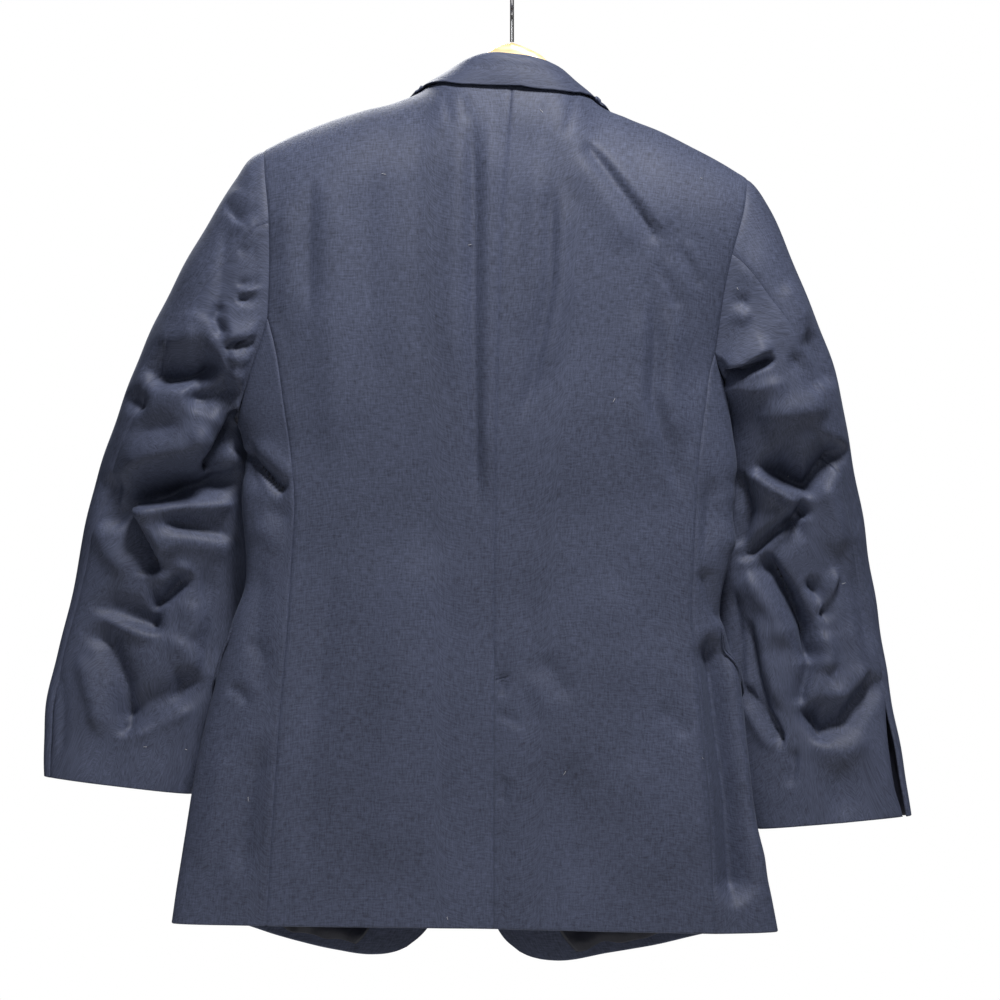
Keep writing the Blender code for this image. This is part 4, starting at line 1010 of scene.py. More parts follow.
class SleeveForm:
    """One sleeve as two grids of points, from the armhole to the cuff."""

    ARMHOLE_REACH = 0.34
    FRONT_FOLDS_SHARE = 0.55
    DEEPEST_SHARE = 0.72
    SWELL = 42
    VENT_REACH = 34
    VENT_EDGE_REACH = 26

    def __init__(self, half: Half, cut: SleeveCut) -> None:
        """Keeps the side and the sleeve's cut."""
        self.half = half
        self.cut = cut

    def oval(self, row: Array, turn: Array) -> Array:
        """Gives points of the plain sleeve at a row from 0 to 1 and a turn from 0 to 2.

        Args:
            row: share of the length.
            turn: turn round it.

        Returns:
            The points.
        """
        outer = self.cut.outer.at(SLEEVE_SHAPE.at("outer", row))
        inner = self.cut.inner.at(SLEEVE_SHAPE.at("inner", row))
        angle = math.pi * turn
        flat = (outer + inner) / 2 + (outer - inner) / 2 * np.cos(angle)[..., None]
        behind = SLEEVE_SHAPE.at("middle", row)
        y = behind + SLEEVE_SHAPE.at("depth", row) * np.sin(angle)
        further = 1 - behind * MM / CAMERA_AWAY
        middle, level = CAMERA_X / MM, -CAMERA_Z / MM
        x = middle + (self.half.sign * flat[..., 0] - middle) * further
        drop = level + (flat[..., 1] - level) * further
        return np.stack([x, y, -drop], axis=-1)

    def axis(self) -> Array:
        """Gives the sleeve's middle line, one point for each row."""
        still = 0 * SLEEVE_ROWS
        return (self.oval(SLEEVE_ROWS, still + 0.5) + self.oval(SLEEVE_ROWS, still + 1.5)) / 2

    def grid(self, ring: Array, turns: Array, moved: Array) -> Array:
        """Makes rows from the armhole to the cuff.

        Args:
            ring: the armhole's points.
            turns: their turns.
            moved: the turns for each row, which follow the sleeve's seams.

        Returns:
            A grid of points.
        """
        rows = SLEEVE_ROWS[:, None] * np.ones(len(turns))
        plain = self.oval(rows, moved)
        start = ring - self.oval(0 * turns, turns)
        fade = (1 - ramp(rows, 0, self.ARMHOLE_REACH))[..., None]
        grid = plain + start * fade
        rise = np.sin(math.pi * moved)
        middle = (self.oval(rows, moved * 0 + 0.5) + self.oval(rows, moved * 0 + 1.5)) / 2
        outward = unit(grid - middle)
        outward[..., 1] += 0.6 * rise
        height = FOLD_GAIN * fold_lift(grid[..., 0], grid[..., 1], -grid[..., 2], self.cut.folds)
        behind = ramp(rise, 0.06, 0.55)
        ahead = ramp(-rise, 0.06, 0.55)
        uneven = ripple(grid[..., 0], grid[..., 2], self.SWELL, 21 + self.half.sign)
        height = height * (behind + self.FRONT_FOLDS_SHARE * ahead) + uneven
        height = np.maximum(height, -self.DEEPEST_SHARE * SLEEVE_SHAPE.at("depth", rows))
        return grid + outward * (height * ramp(rows, 0.004, 0.09))[..., None]

    def pieces(self, ring: Array) -> tuple[Array, Array]:
        """Splits the sleeve into the top sleeve and the under sleeve.

        Args:
            ring: the armhole's points from the shoulder round the back, underarm and front.

        Returns:
            The two grids.
        """
        turns = ring_turns()
        forearm_index = len(turns) - FOREARM_INDEX
        first = turns[ELBOW_INDEX]
        last = turns[forearm_index]
        elbow = smooth(*np.array([(0.0, first), *self.cut.hindarm]).T, SLEEVE_ROWS)
        forearm = smooth([0, 0.4, 1], [last, 1.40, 1.34], SLEEVE_ROWS)
        order = np.arange(forearm_index, len(turns) + ELBOW_INDEX + 1) % len(turns)
        top_turns = np.where(order >= forearm_index, turns[order] - 2, turns[order])
        behind = top_turns[None] * (elbow / first)[:, None]
        ahead = top_turns[None] * ((2 - forearm) / (2 - last))[:, None]
        top_moved = np.where(top_turns[None] >= 0, behind, ahead)
        top = self.grid(ring[order], top_turns % 2, top_moved % 2)
        under_turns = turns[ELBOW_INDEX : forearm_index + 1]
        share = (under_turns - first) / (last - first)
        under_moved = elbow[:, None] * (1 - share) + forearm[:, None] * share
        under = self.grid(ring[ELBOW_INDEX : forearm_index + 1], under_turns, under_moved)
        self.open_cuff(top, under)
        return top, under

    def open_cuff(self, top: Array, under: Array) -> None:
        """Parts the two pieces at the cuff's vent and lets the top sleeve's edge stand off.

        Args:
            top: the top sleeve's grid.
            under: the under sleeve's grid.
        """
        widest = self.cut.gape * ramp(SLEEVE_ROWS, 0.80, 0.90)
        parted = widest * (1 - 0.35 * ramp(SLEEVE_ROWS, 0.95, 1.0))
        near = np.maximum(1 - run_along(under, 1) / self.VENT_REACH, 0) ** 1.5
        away = unit(under[:, 6] - under[:, 0])
        under += away[:, None] * (parted[:, None] * near)[..., None]
        under[..., 1] -= 0.30 * parted[:, None] * near
        edge = run_along(top[:, ::-1], 1)[:, ::-1]
        top[..., 1] += 0.35 * parted[:, None] * np.maximum(1 - edge / self.VENT_EDGE_REACH, 0) ** 1.5


def armhole_ring(back: Array, side: Array, front: Array) -> Array:
    """Gives the armhole's points from the shoulder round the back, underarm and front."""
    last = len(HOLE) - 1
    return np.concatenate([back[: last + 1, -1], side[0, 1:-1], front[last:0:-1, -1]])


def ring_turns() -> Array:
    """Gives each armhole point's share of the way round: 0 and 2 at the shoulder.

    Returns:
        The turns in the ring's order.
    """
    behind = np.arccos(1 - 2 * ARMHOLE_DEPTH * HOLE) / math.pi
    under = behind[-1] + (2 - 2 * behind[-1]) * UNDER[1:-1]
    return np.concatenate([behind, under, 2 - behind[:0:-1]])


def placed(name: str, data: bpy.types.ID) -> bpy.types.Object:
    """Puts an object that shows this data into the scene.

    Args:
        name: the object's name.
        data: its mesh, curve, camera or light.

    Returns:
        The object.
    """
    made = bpy.data.objects.new(name, data)
    bpy.context.scene.collection.objects.link(made)
    return made


def outward_normals(grid: Array, centre: Array) -> Array:
    """Gives the unit normals of a grid that point away from its centre.

    Args:
        grid: the cloth's points.
        centre: places inside it, beside its points.

    Returns:
        The normals.
    """
    normal = grid_normals(grid)
    if np.sum(normal * (grid - centre)) < 0:
        normal = -normal
    return normal


def body_centre(grid: Array) -> Array:
    """Gives the body's middle line beside each point of a grid.

    Args:
        grid: the cloth's points.

    Returns:
        The places on the middle line.
    """
    middle = np.zeros_like(grid)
    middle[..., 0] = BODY.oval(-grid[..., 2])[0]
    middle[..., 2] = grid[..., 2]
    return middle


def run_along(grid: Array, axis: int) -> Array:
    """Gives the length of cloth from the grid's start to each point along one axis.

    Args:
        grid: the cloth's points.
        axis: 0 for down and 1 for across.

    Returns:
        The length at each point.
    """
    steps = np.linalg.norm(np.diff(grid, axis=axis), axis=2)
    total = np.cumsum(steps, axis=axis)
    start = np.zeros_like(np.take(total, [0], axis=axis))
    return np.concatenate([start, total], axis=axis)


@dataclass(frozen=True)
class Edges:
    """How a grid ends at its first row, last row, first column and last column."""

    top: Edge
    bottom: Edge
    first: Edge
    last: Edge

    def each(self, grid: Array) -> list[tuple[Edge, Array, tuple]]:
        """Gives each side's kind, the distance to it and the index of its points.

        Args:
            grid: the cloth's points.

        Returns:
            The kind, distances and index of each side.
        """
        down = run_along(grid, 0)
        across = run_along(grid, 1)
        return [
            (self.top, down, (0, slice(None))),
            (self.bottom, down[-1:] - down, (-1, slice(None))),
            (self.first, across, (slice(None), 0)),
            (self.last, across[:, -1:] - across, (slice(None), -1)),
        ]


TURNED = Edges(Edge.FREE, Edge.FREE, Edge.HIDDEN, Edge.FREE)


@dataclass(frozen=True)
class Cloth:
    """One cut piece: a thin closed wall on a grid, with its seams pressed in."""

    name: str
    grid: Array
    normal: Array
    edges: Edges
    wall: float = WALL
    dip: float = SEAM_DIP

    def build(self, outside: bpy.types.Material, inside: bpy.types.Material, slot: Slot) -> None:
        """Args:
            outside: the material of its face and rims.
            inside: the material of its back.
            slot: the record's slot; not used.
        """
        rows, columns = self.grid.shape[:2]
        relief, close, flare = self._relief()
        outer = self.grid + self.normal * relief[..., None]
        inner = self.grid - self.normal * (self.wall - close)[..., None] + flare
        points = np.concatenate([outer.reshape(-1, 3), inner.reshape(-1, 3)]) * MM
        faces, kinds = self._faces(rows, columns)
        if not self._points_out(points, faces):
            faces = faces[:, ::-1]
        shown = f"{self.name}_cloth"
        mesh = bpy.data.meshes.new(shown)
        mesh.from_pydata(points.tolist(), [], faces.tolist())
        mesh.shade_smooth()
        mesh.materials.append(outside)
        mesh.materials.append(inside)
        mesh.polygons.foreach_set("material_index", kinds)
        self._lay_out(mesh)
        piece = placed(shown, mesh)
        width, length, area = self.flat_cut()
        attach(piece, "root")
        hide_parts(self.name)
        log.info("%s: %d faces, cut %.0f by %.0f mm", shown, len(faces), width / MM, length / MM)

    def _relief(self) -> tuple[Array, Array, Array]:
        """Works out how seams sink and swell the face, and how the edges round off.

        Returns:
            The face's relief, how far the back closes in, and the edges' flare.
        """
        relief = np.zeros(self.grid.shape[:2])
        close = np.zeros_like(relief)
        flare = np.zeros_like(self.grid)
        radius = self.wall / 2 * 0.94
        for kind, distance, index in self.edges.each(self.grid):
            if kind is Edge.SEAM:
                swell = ramp(distance, 1.5, 4.0) - ramp(distance, 8.0, 13.0)
                relief += SEAM_SWELL * swell - self.dip * np.exp(-((distance / SEAM_WIDTH) ** 2))
                flare[index] += self._away(index) * SEAM_FLARE
            elif kind is Edge.FREE:
                share = 1 - np.clip(distance / radius, 0, 1)
                round_off = radius * (1 - np.sqrt(1 - share**2))
                relief -= round_off
                close += round_off
        return relief, np.minimum(close, radius), flare

    def _away(self, index: tuple) -> Array:
        """Gives the directions out of the piece, square to one of its edges.

        Args:
            index: the edge's points.

        Returns:
            Unit directions.
        """
        axis = 0 if isinstance(index[0], int) else 1
        at = index[axis]
        beside = 1 if at == 0 else -2
        inside = (beside, slice(None)) if axis == 0 else (slice(None), beside)
        return unit(self.grid[index] - self.grid[inside])

    @staticmethod
    def _faces(rows: int, columns: int) -> tuple[Array, Array]:
        """Gives the quads of the face, the back and the rim, and the material of each.

        Args:
            rows: the grid's rows.
            columns: its columns.

        Returns:
            The faces and materials.
        """
        at = np.arange(rows * columns).reshape(rows, columns)
        quad = np.stack([at[:-1, :-1], at[:-1, 1:], at[1:, 1:], at[1:, :-1]], axis=-1).reshape(-1, 4)
        back = quad[:, ::-1] + rows * columns
        loop = np.concatenate([at[0], at[1:, -1], at[-1, -2::-1], at[-2:0:-1, 0]])
        after = np.roll(loop, -1)
        rim = np.stack([after, loop, loop + rows * columns, after + rows * columns], axis=-1)
        kinds = np.concatenate([np.zeros(len(quad), int), np.ones(len(back), int), np.zeros(len(rim), int)])
        return np.concatenate([quad, back, rim]), kinds

    @staticmethod
    def _points_out(points: Array, faces: Array) -> bool:
        """Tells whether the closed mesh's faces point outwards.

        Args:
            points: the points.
            faces: the faces.

        Returns:
            Whether they do.
        """
        a, b, c, d = (points[faces[:, k]] for k in range(4))
        volume = np.einsum("ij,ij->i", a, np.cross(b, c)) + np.einsum("ij,ij->i", a, np.cross(c, d))
        return bool(volume.sum() > 0)

    def _lay_out(self, mesh: bpy.types.Mesh) -> None:
        """Writes the UV map: metres of cloth across and along the grain.

        Args:
            mesh: the piece's mesh.
        """
        across = run_along(self.grid, 1)
        middle = across.shape[1] // 2
        u = across - across[:, middle : middle + 1] + self.grid[:1, middle : middle + 1, 0]
        v = run_along(self.grid, 0) - self.grid[:1, :, 2]
        flat = np.stack([u, v], axis=-1).reshape(-1, 2) * MM
        both = np.concatenate([flat, flat])
        corner = np.empty(len(mesh.loops), np.int32)
        mesh.loops.foreach_get("vertex_index", corner)
        layer = mesh.uv_layers.new(name="grain")
        layer.data.foreach_set("uv", both[corner].ravel())

    def flat_cut(self) -> tuple[float, float, float]:
        """Gives the width, length and area of what shows of the piece's cut, in metres.

        Returns:
            The width, length and area.
        """
        across = run_along(self.grid, 1)[:, -1].max()
        down = run_along(self.grid, 0)[-1].max()
        wide = np.diff(self.grid, axis=1)[:-1]
        long = np.diff(self.grid, axis=0)[:, :-1]
        area = np.linalg.norm(np.cross(wide, long), axis=-1).sum()
        width, length = max(across * MM, NARROWEST_CUT), down * MM
        return width, length, float(np.clip(area * MM * MM, LEAST_AREA * width * length, width * length))


Socket = bpy.types.NodeSocket
Colour = tuple[float, float, float]


class Tree:
    """A short way to build a shader or geometry node tree."""

    def __init__(self, tree: bpy.types.NodeTree) -> None:
        """Keeps the tree."""
        self.tree = tree

    def add(self, kind: str, settings: dict | None = None, **inputs: object) -> bpy.types.Node:
        """Adds a node.

        Args:
            kind: the node's type name.
            settings: properties of the node.
            inputs: values or sockets by the input's name, with underscores for spaces.

        Returns:
            The node.
        """
        node = self.tree.nodes.new(kind)
        for name, value in (settings or {}).items():
            setattr(node, name, value)
        for name, value in inputs.items():
            key = int(name[1:]) if name[0] == "n" and name[1:].isdigit() else name.replace("_", " ")
            if isinstance(value, Socket):
                self.tree.links.new(value, node.inputs[key])
            else:
                node.inputs[key].default_value = value
        return node

    def link(self, start: Socket, end: Socket) -> None:
        """Joins two sockets."""
        self.tree.links.new(start, end)

    def place(self, space: str) -> Socket:
        """Gives the surface's places in a space, UV or Object."""
        return self.add("ShaderNodeTexCoord").outputs[space]

    def stretch(self, where: Socket, scale: tuple) -> Socket:
        """Stretches places by a scale along each axis."""
        return self.add("ShaderNodeMapping", Vector=where, Scale=scale).outputs[0]

    def noise(self, where: Socket, scale: float = 1.0, detail: float = 2.0) -> Socket:
        """Gives a noise read at these places."""
        return self.add("ShaderNodeTexNoise", Vector=where, Scale=scale, Detail=detail).outputs[0]

    def maths(self, operation: str, *values: Socket | float) -> Socket:
        """Works out one sum of sockets or numbers."""
        inputs = {f"n{k}": value for k, value in enumerate(values)}
        return self.add("ShaderNodeMath", {"operation": operation}, **inputs).outputs[0]

    def tint(self, shader: bpy.types.Node, factor: Socket, low: Colour, high: Colour) -> None:
        """Colours a shader between two colours by a factor."""
        mix = self.add("ShaderNodeMix", {"data_type": "RGBA"}, n0=factor, n6=(*low, 1), n7=(*high, 1))
        self.link(mix.outputs[2], shader.inputs["Base Color"])

    def bump(self, shader: bpy.types.Node, height: Socket, strength: float, distance: float) -> None:
        """Gives a shader's surface a fine relief, its distance in metres."""
        relief = self.add("ShaderNodeBump", Height=height, Strength=strength, Distance=distance)
        self.link(relief.outputs[0], shader.inputs["Normal"])


@dataclass(frozen=True)
class Finish:
    """What every finish has: its name, colour and how the light meets it."""

    name: str
    colour: Colour
    roughness: float = 0.5

    def start(self, **inputs: object) -> tuple[bpy.types.Material, Tree, bpy.types.Node]:
        """Makes the material with its shader.

        Args:
            inputs: what else the shader is set to, by the input's name.

        Returns:
            The material, its tree and its shader.
        """
        made = bpy.data.materials.new(self.name)
        made.use_nodes = True
        made.node_tree.nodes.clear()
        tree = Tree(made.node_tree)
        base = (*self.colour, 1)
        shader = tree.add("ShaderNodeBsdfPrincipled", Base_Color=base, Roughness=self.roughness, **inputs)
        tree.add("ShaderNodeOutputMaterial", Surface=shader.outputs[0])
        return made, tree, shader

    def shade(self, factor: float) -> Colour:
        """Gives the finish's colour, darker or lighter by a factor."""
        return tuple(value * factor for value in self.colour)


@dataclass(frozen=True)
class Worsted(Finish):
    """Fine twill wool: slubbed yarns both ways, a soft unevenness and a faint sheen."""

    twill: float = 0.0012
    slub_long: float = 120.0
    slub_fine: float = 620.0
    sheen: float = 0.07
    darkest: float = 0.46
    lightest: float = 1.62

    def make(self) -> bpy.types.Material:
        """Builds the material on the cloth's own UV map, in metres.

        Returns:
            The material.
        """
        made, tree, shader = self.start(
            Sheen_Weight=self.sheen, Sheen_Roughness=0.45, Sheen_Tint=(0.42, 0.50, 0.72, 1),
            Specular_IOR_Level=0.28,
        )
        where = tree.place("UV")
        warp = tree.noise(tree.stretch(where, (self.slub_fine, self.slub_long, 1)))
        weft = tree.noise(tree.stretch(where, (self.slub_long, self.slub_fine, 1)))
        cloud = tree.maths("MULTIPLY_ADD", tree.noise(where, 9.0, 4.0), 0.5, -0.25)
        total = tree.maths("ADD", tree.maths("ADD", warp, weft), cloud)
        grain = tree.maths("MULTIPLY_ADD", tree.noise(where, 900.0, 1.0), 0.5, total)
        spread = tree.add("ShaderNodeMapRange", Value=grain, From_Min=0.75, From_Max=1.75)
        tree.tint(shader, spread.outputs[0], self.shade(self.darkest), self.shade(self.lightest))
        turned = tree.add("ShaderNodeMapping", Vector=where, Rotation=(0, 0, math.radians(58)))
        fine = 2 * math.pi / (20 * self.twill)
        lines = tree.add("ShaderNodeTexWave", Vector=turned.outputs[0], Scale=fine, Distortion=0.6)
        tree.bump(shader, tree.maths("MULTIPLY_ADD", lines.outputs[1], 0.18, grain), 0.16, 0.0006)
        return made


@dataclass(frozen=True)
class Satin(Finish):
    """Smooth lining: a tight weave with soft crinkles that catch the light."""

    def make(self) -> bpy.types.Material:
        """Builds the material.

        Returns:
            The material.
        """
        made, tree, shader = self.start(Specular_IOR_Level=0.3, Sheen_Weight=0.04)
        where = tree.place("UV")
        rib = tree.noise(tree.stretch(where, (900, 60, 1)))
        tree.tint(shader, rib, self.shade(0.7), self.shade(1.5))
        tree.bump(shader, tree.noise(where, 38.0, 5.0), 0.35, 0.002)
        return made


@dataclass(frozen=True)
class Horn(Finish):
    """Button resin with the cloudy streaks of horn."""

    streak: Colour = (0.10, 0.085, 0.075)

    def make(self) -> bpy.types.Material:
        """Builds the material.

        Returns:
            The material.
        """
        made, tree, shader = self.start(Coat_Weight=0.3)
        cloud = tree.noise(tree.stretch(tree.place("Object"), (260, 260, 60)), 1.0, 4.0)
        edge = tree.add("ShaderNodeMapRange", Value=cloud, From_Min=0.45, From_Max=0.7)
        tree.tint(shader, edge.outputs[0], self.colour, self.streak)
        return made


@dataclass(frozen=True)
class Lacquered(Finish):
    """Pale wood with long grain, fine pores and a thin clear lacquer."""

    dark: Colour = (0.50, 0.31, 0.13)

    def make(self) -> bpy.types.Material:
        """Builds the material with its grain along the bar.

        Returns:
            The material.
        """
        made, tree, shader = self.start(Coat_Weight=0.45, Coat_Roughness=0.18)
        where = tree.place("Object")
        drawn = tree.stretch(where, (7, 60, 60))
        bands = {"wave_type": "BANDS", "bands_direction": "Z"}
        rings = tree.add("ShaderNodeTexWave", bands, Vector=drawn, Scale=0.9, Distortion=5.0)
        pore = tree.noise(tree.stretch(where, (60, 1100, 1100)))
        mixed = tree.maths("MULTIPLY", rings.outputs[1], tree.noise(drawn, 1.3, 3.0))
        tree.tint(shader, tree.maths("MULTIPLY_ADD", pore, 0.3, mixed), self.colour, self.dark)
        tree.bump(shader, pore, 0.1, 0.0003)
        return made


@dataclass(frozen=True)
class Plated(Finish):
    """Bright plated wire with faint drawing lines."""

    def make(self) -> bpy.types.Material:
        """Builds the material.

        Returns:
            The material.
        """
        made, tree, shader = self.start(Metallic=1.0)
        line = tree.noise(tree.stretch(tree.place("Object"), (900, 90, 90)))
        low, high = self.roughness * 0.7, self.roughness * 1.5
        rough = tree.add("ShaderNodeMapRange", Value=line, To_Min=low, To_Max=high)
        tree.link(rough.outputs[0], shader.inputs["Roughness"])
        return made


@dataclass(frozen=True)
class Twist(Finish):
    """Sewing thread and lint: a plain soft fibre with its twist."""

    def make(self) -> bpy.types.Material:
        """Builds the material.

        Returns:
            The material.
        """
        made, tree, shader = self.start(Sheen_Weight=0.3)
        tree.tint(shader, tree.noise(tree.place("Object"), 2600.0), self.shade(0.7), self.shade(1.3))
        return made


class Looks:
    """Every material of the blazer and its hanger."""

    def __init__(self) -> None:
        """Makes the materials."""
        self.cloth = Worsted("cloth", (0.046, 0.0545, 0.091), 0.62).make()
        self.lining = Satin("lining", (0.012, 0.013, 0.022), 0.36).make()
        self.horn = Horn("horn", (0.02, 0.02, 0.026), 0.32).make()
        self.wood = Lacquered("wood", (0.80, 0.60, 0.33), 0.42).make()
        self.steel = Plated("steel", (0.78, 0.78, 0.79), 0.22).make()
        self.thread = Twist("thread", (0.035, 0.042, 0.07), 0.7).make()
        self.lint = Twist("lint", (0.42, 0.42, 0.44), 0.9).make()


@dataclass
class BodyPanels:
    """The backs, side panels and fronts of both sides."""

    looks: Looks
    grids: dict[str, Array] = field(default_factory=dict)
    normals: dict[str, Array] = field(default_factory=dict)

    def build(self) -> None:
        """Makes the six panels on the body's form."""
        for half in (LEFT, RIGHT):
            form = PanelForm(half)
            sewn = Edges(Edge.SEAM, Edge.FREE, Edge.SEAM, Edge.SEAM)
            self._panel(f"back_{half.name}", form.back(), sewn)
            self._panel(f"side_panel_{half.name}", form.side(), sewn)
            self._panel(f"front_{half.name}", form.front(), Edges(Edge.SEAM, Edge.FREE, Edge.FREE, Edge.SEAM))

    def _panel(self, name: str, grid: Array, edges: Edges) -> None:
        """Makes one panel and keeps its grid for what lies on it.

        Args:
            name: the piece's name.
            grid: the cloth's points.
            edges: how it ends on each side.
        """
        normal = outward_normals(grid, body_centre(grid))
        self.grids[name] = grid
        self.normals[name] = normal
        facing = self.looks.cloth if name.startswith("front") else self.looks.lining
        Cloth(name, grid, normal, edges).build(self.looks.cloth, facing, Slot.CLOTH)


@dataclass
class Sleeves:
    """The top and under sleeve of both sides."""

    looks: Looks
    panels: BodyPanels

    def build(self) -> None:
        """Makes the four pieces from the armholes down to the cuffs."""
        for half in (LEFT, RIGHT):
            grids = self.panels.grids
            name = half.name
            ring = armhole_ring(grids[f"back_{name}"], grids[f"side_panel_{name}"], grids[f"front_{name}"])
            form = SleeveForm(half, SLEEVES[name])
            top, under = form.pieces(ring)
            centre = form.axis()[:, None]
            edges = Edges(Edge.SEAM, Edge.FREE, Edge.SEAM, Edge.SEAM)
            for part, grid in (("top_sleeve", top), ("under_sleeve", under)):
                normal = outward_normals(grid, centre)
                cloth = Cloth(f"{part}_{name}", grid, normal, edges, dip=SLEEVE_DIP)
                cloth.build(self.looks.cloth, self.looks.lining, Slot.CLOTH)


def resampled(grid: Array, columns: Array) -> Array:
    """Reads a grid with few columns on smooth curves across its rows.

    Args:
        grid: the control points, a row for each section.
        columns: shares of each section's length.

    Returns:
        The finer grid.
    """
    return np.stack([Path(row).at(columns) for row in grid])


@dataclass(frozen=True)
class LapelCut:
    """Where one lapel starts and ends on the front's edge, its tip, and its outer edge."""

    gorge: float
    foot: float
    tip: tuple[float, float]
    edge: tuple[tuple[float, float], ...]


LAPELS = {
    "left": LapelCut(0.070, 0.487, (151, 208), ((136, 310), (84, 430))),
    "right": LapelCut(0.070, 0.392, (147, 221), ((125, 318), (62, 405))),
}


@dataclass
class Lapels:
    """Both lapels, which roll over the fronts' edges and lie back on them."""

    looks: Looks
    grids: dict[str, Array] = field(default_factory=dict)

    SECTION = (
        (-2.9, 0.0, -1.0), (-3.4, 0.0, 2.6), (-1.2, 0.0, 5.2), (4.0, 0.04, 5.6),
        (2.0, 0.30, 4.6), (0.0, 0.64, 3.6), (0.0, 1.0, 3.0),
    )

    def build(self) -> None:
        """Makes the two lapels."""
        for half in (LEFT, RIGHT):
            grid = self._grid(half, LAPELS[half.name])
            self.grids[half.name] = grid
            normal = outward_normals(grid, body_centre(grid))
            cloth = Cloth(f"lapel_{half.name}", grid, normal, TURNED)
            cloth.build(self.looks.cloth, self.looks.cloth, Slot.CLOTH)

    def _grid(self, half: Half, cut: LapelCut) -> Array:
        """Lays the lapel's sections square to the front's edge.

        Args:
            half: the side.
            cut: the lapel's cut.

        Returns:
            A grid of points.
        """
        shares = cut.gorge + (cut.foot - cut.gorge) * crowded(96, (0.001, 0.003, 0.007))
        roll = half.front_edge.at(shares)
        outline = Path([cut.tip, *cut.edge, tuple(roll[-1] + (1.5, 1.0))])
        edge = outline.at((shares - cut.gorge) / (cut.foot - cut.gorge))
        reach = edge - roll
        width = np.linalg.norm(reach, axis=1)
        along = reach / width[:, None]
        form = PanelForm(half)
        columns = []
        for fixed, share, lift in self.SECTION:
            slim = ramp(width, 0, 24) if share == 0 else 1
            flat = roll + along * (fixed * np.minimum(1, width / 30) + share * width)[:, None]
            point = form.on_front(flat)
            point[:, 1] -= 3.0 + (lift - 3.0) * slim
            columns.append(point)
        return resampled(np.stack(columns, axis=1), crowded(30, (0.004, 0.010)))


COLLAR_COLUMNS = "way fold_out fold_y fold_drop edge_out edge_drop"
COLLARS = {
    "left": Table(COLLAR_COLUMNS, [
        (0.00, 0, 41, 81, 0, 113), (0.20, 18, 39, 80, 22, 112), (0.40, 35, 31, 84, 46, 110.5),
        (0.55, 46, 18, 92, 68, 110.5), (0.68, 52, 2, 101, 86, 117),
        (0.80, 55, -21, 118, 104, 132), (0.90, 60, -42, 141, 120, 150),
        (1.00, 63, -54.5, 167.5, 131, 168),
    ]),
    "right": Table(COLLAR_COLUMNS, [
        (0.00, 0, 41, 81, 0, 113), (0.20, 18, 39, 84, 22, 115.5), (0.40, 35, 31, 90, 46, 117),
        (0.55, 46, 18, 99, 66, 121), (0.68, 52, 2, 110, 82, 129),
        (0.80, 54, -21, 128, 100, 146), (0.90, 57, -42, 151, 116, 165),
        (1.00, 57.5, -54.5, 179, 127, 183),
    ]),
}


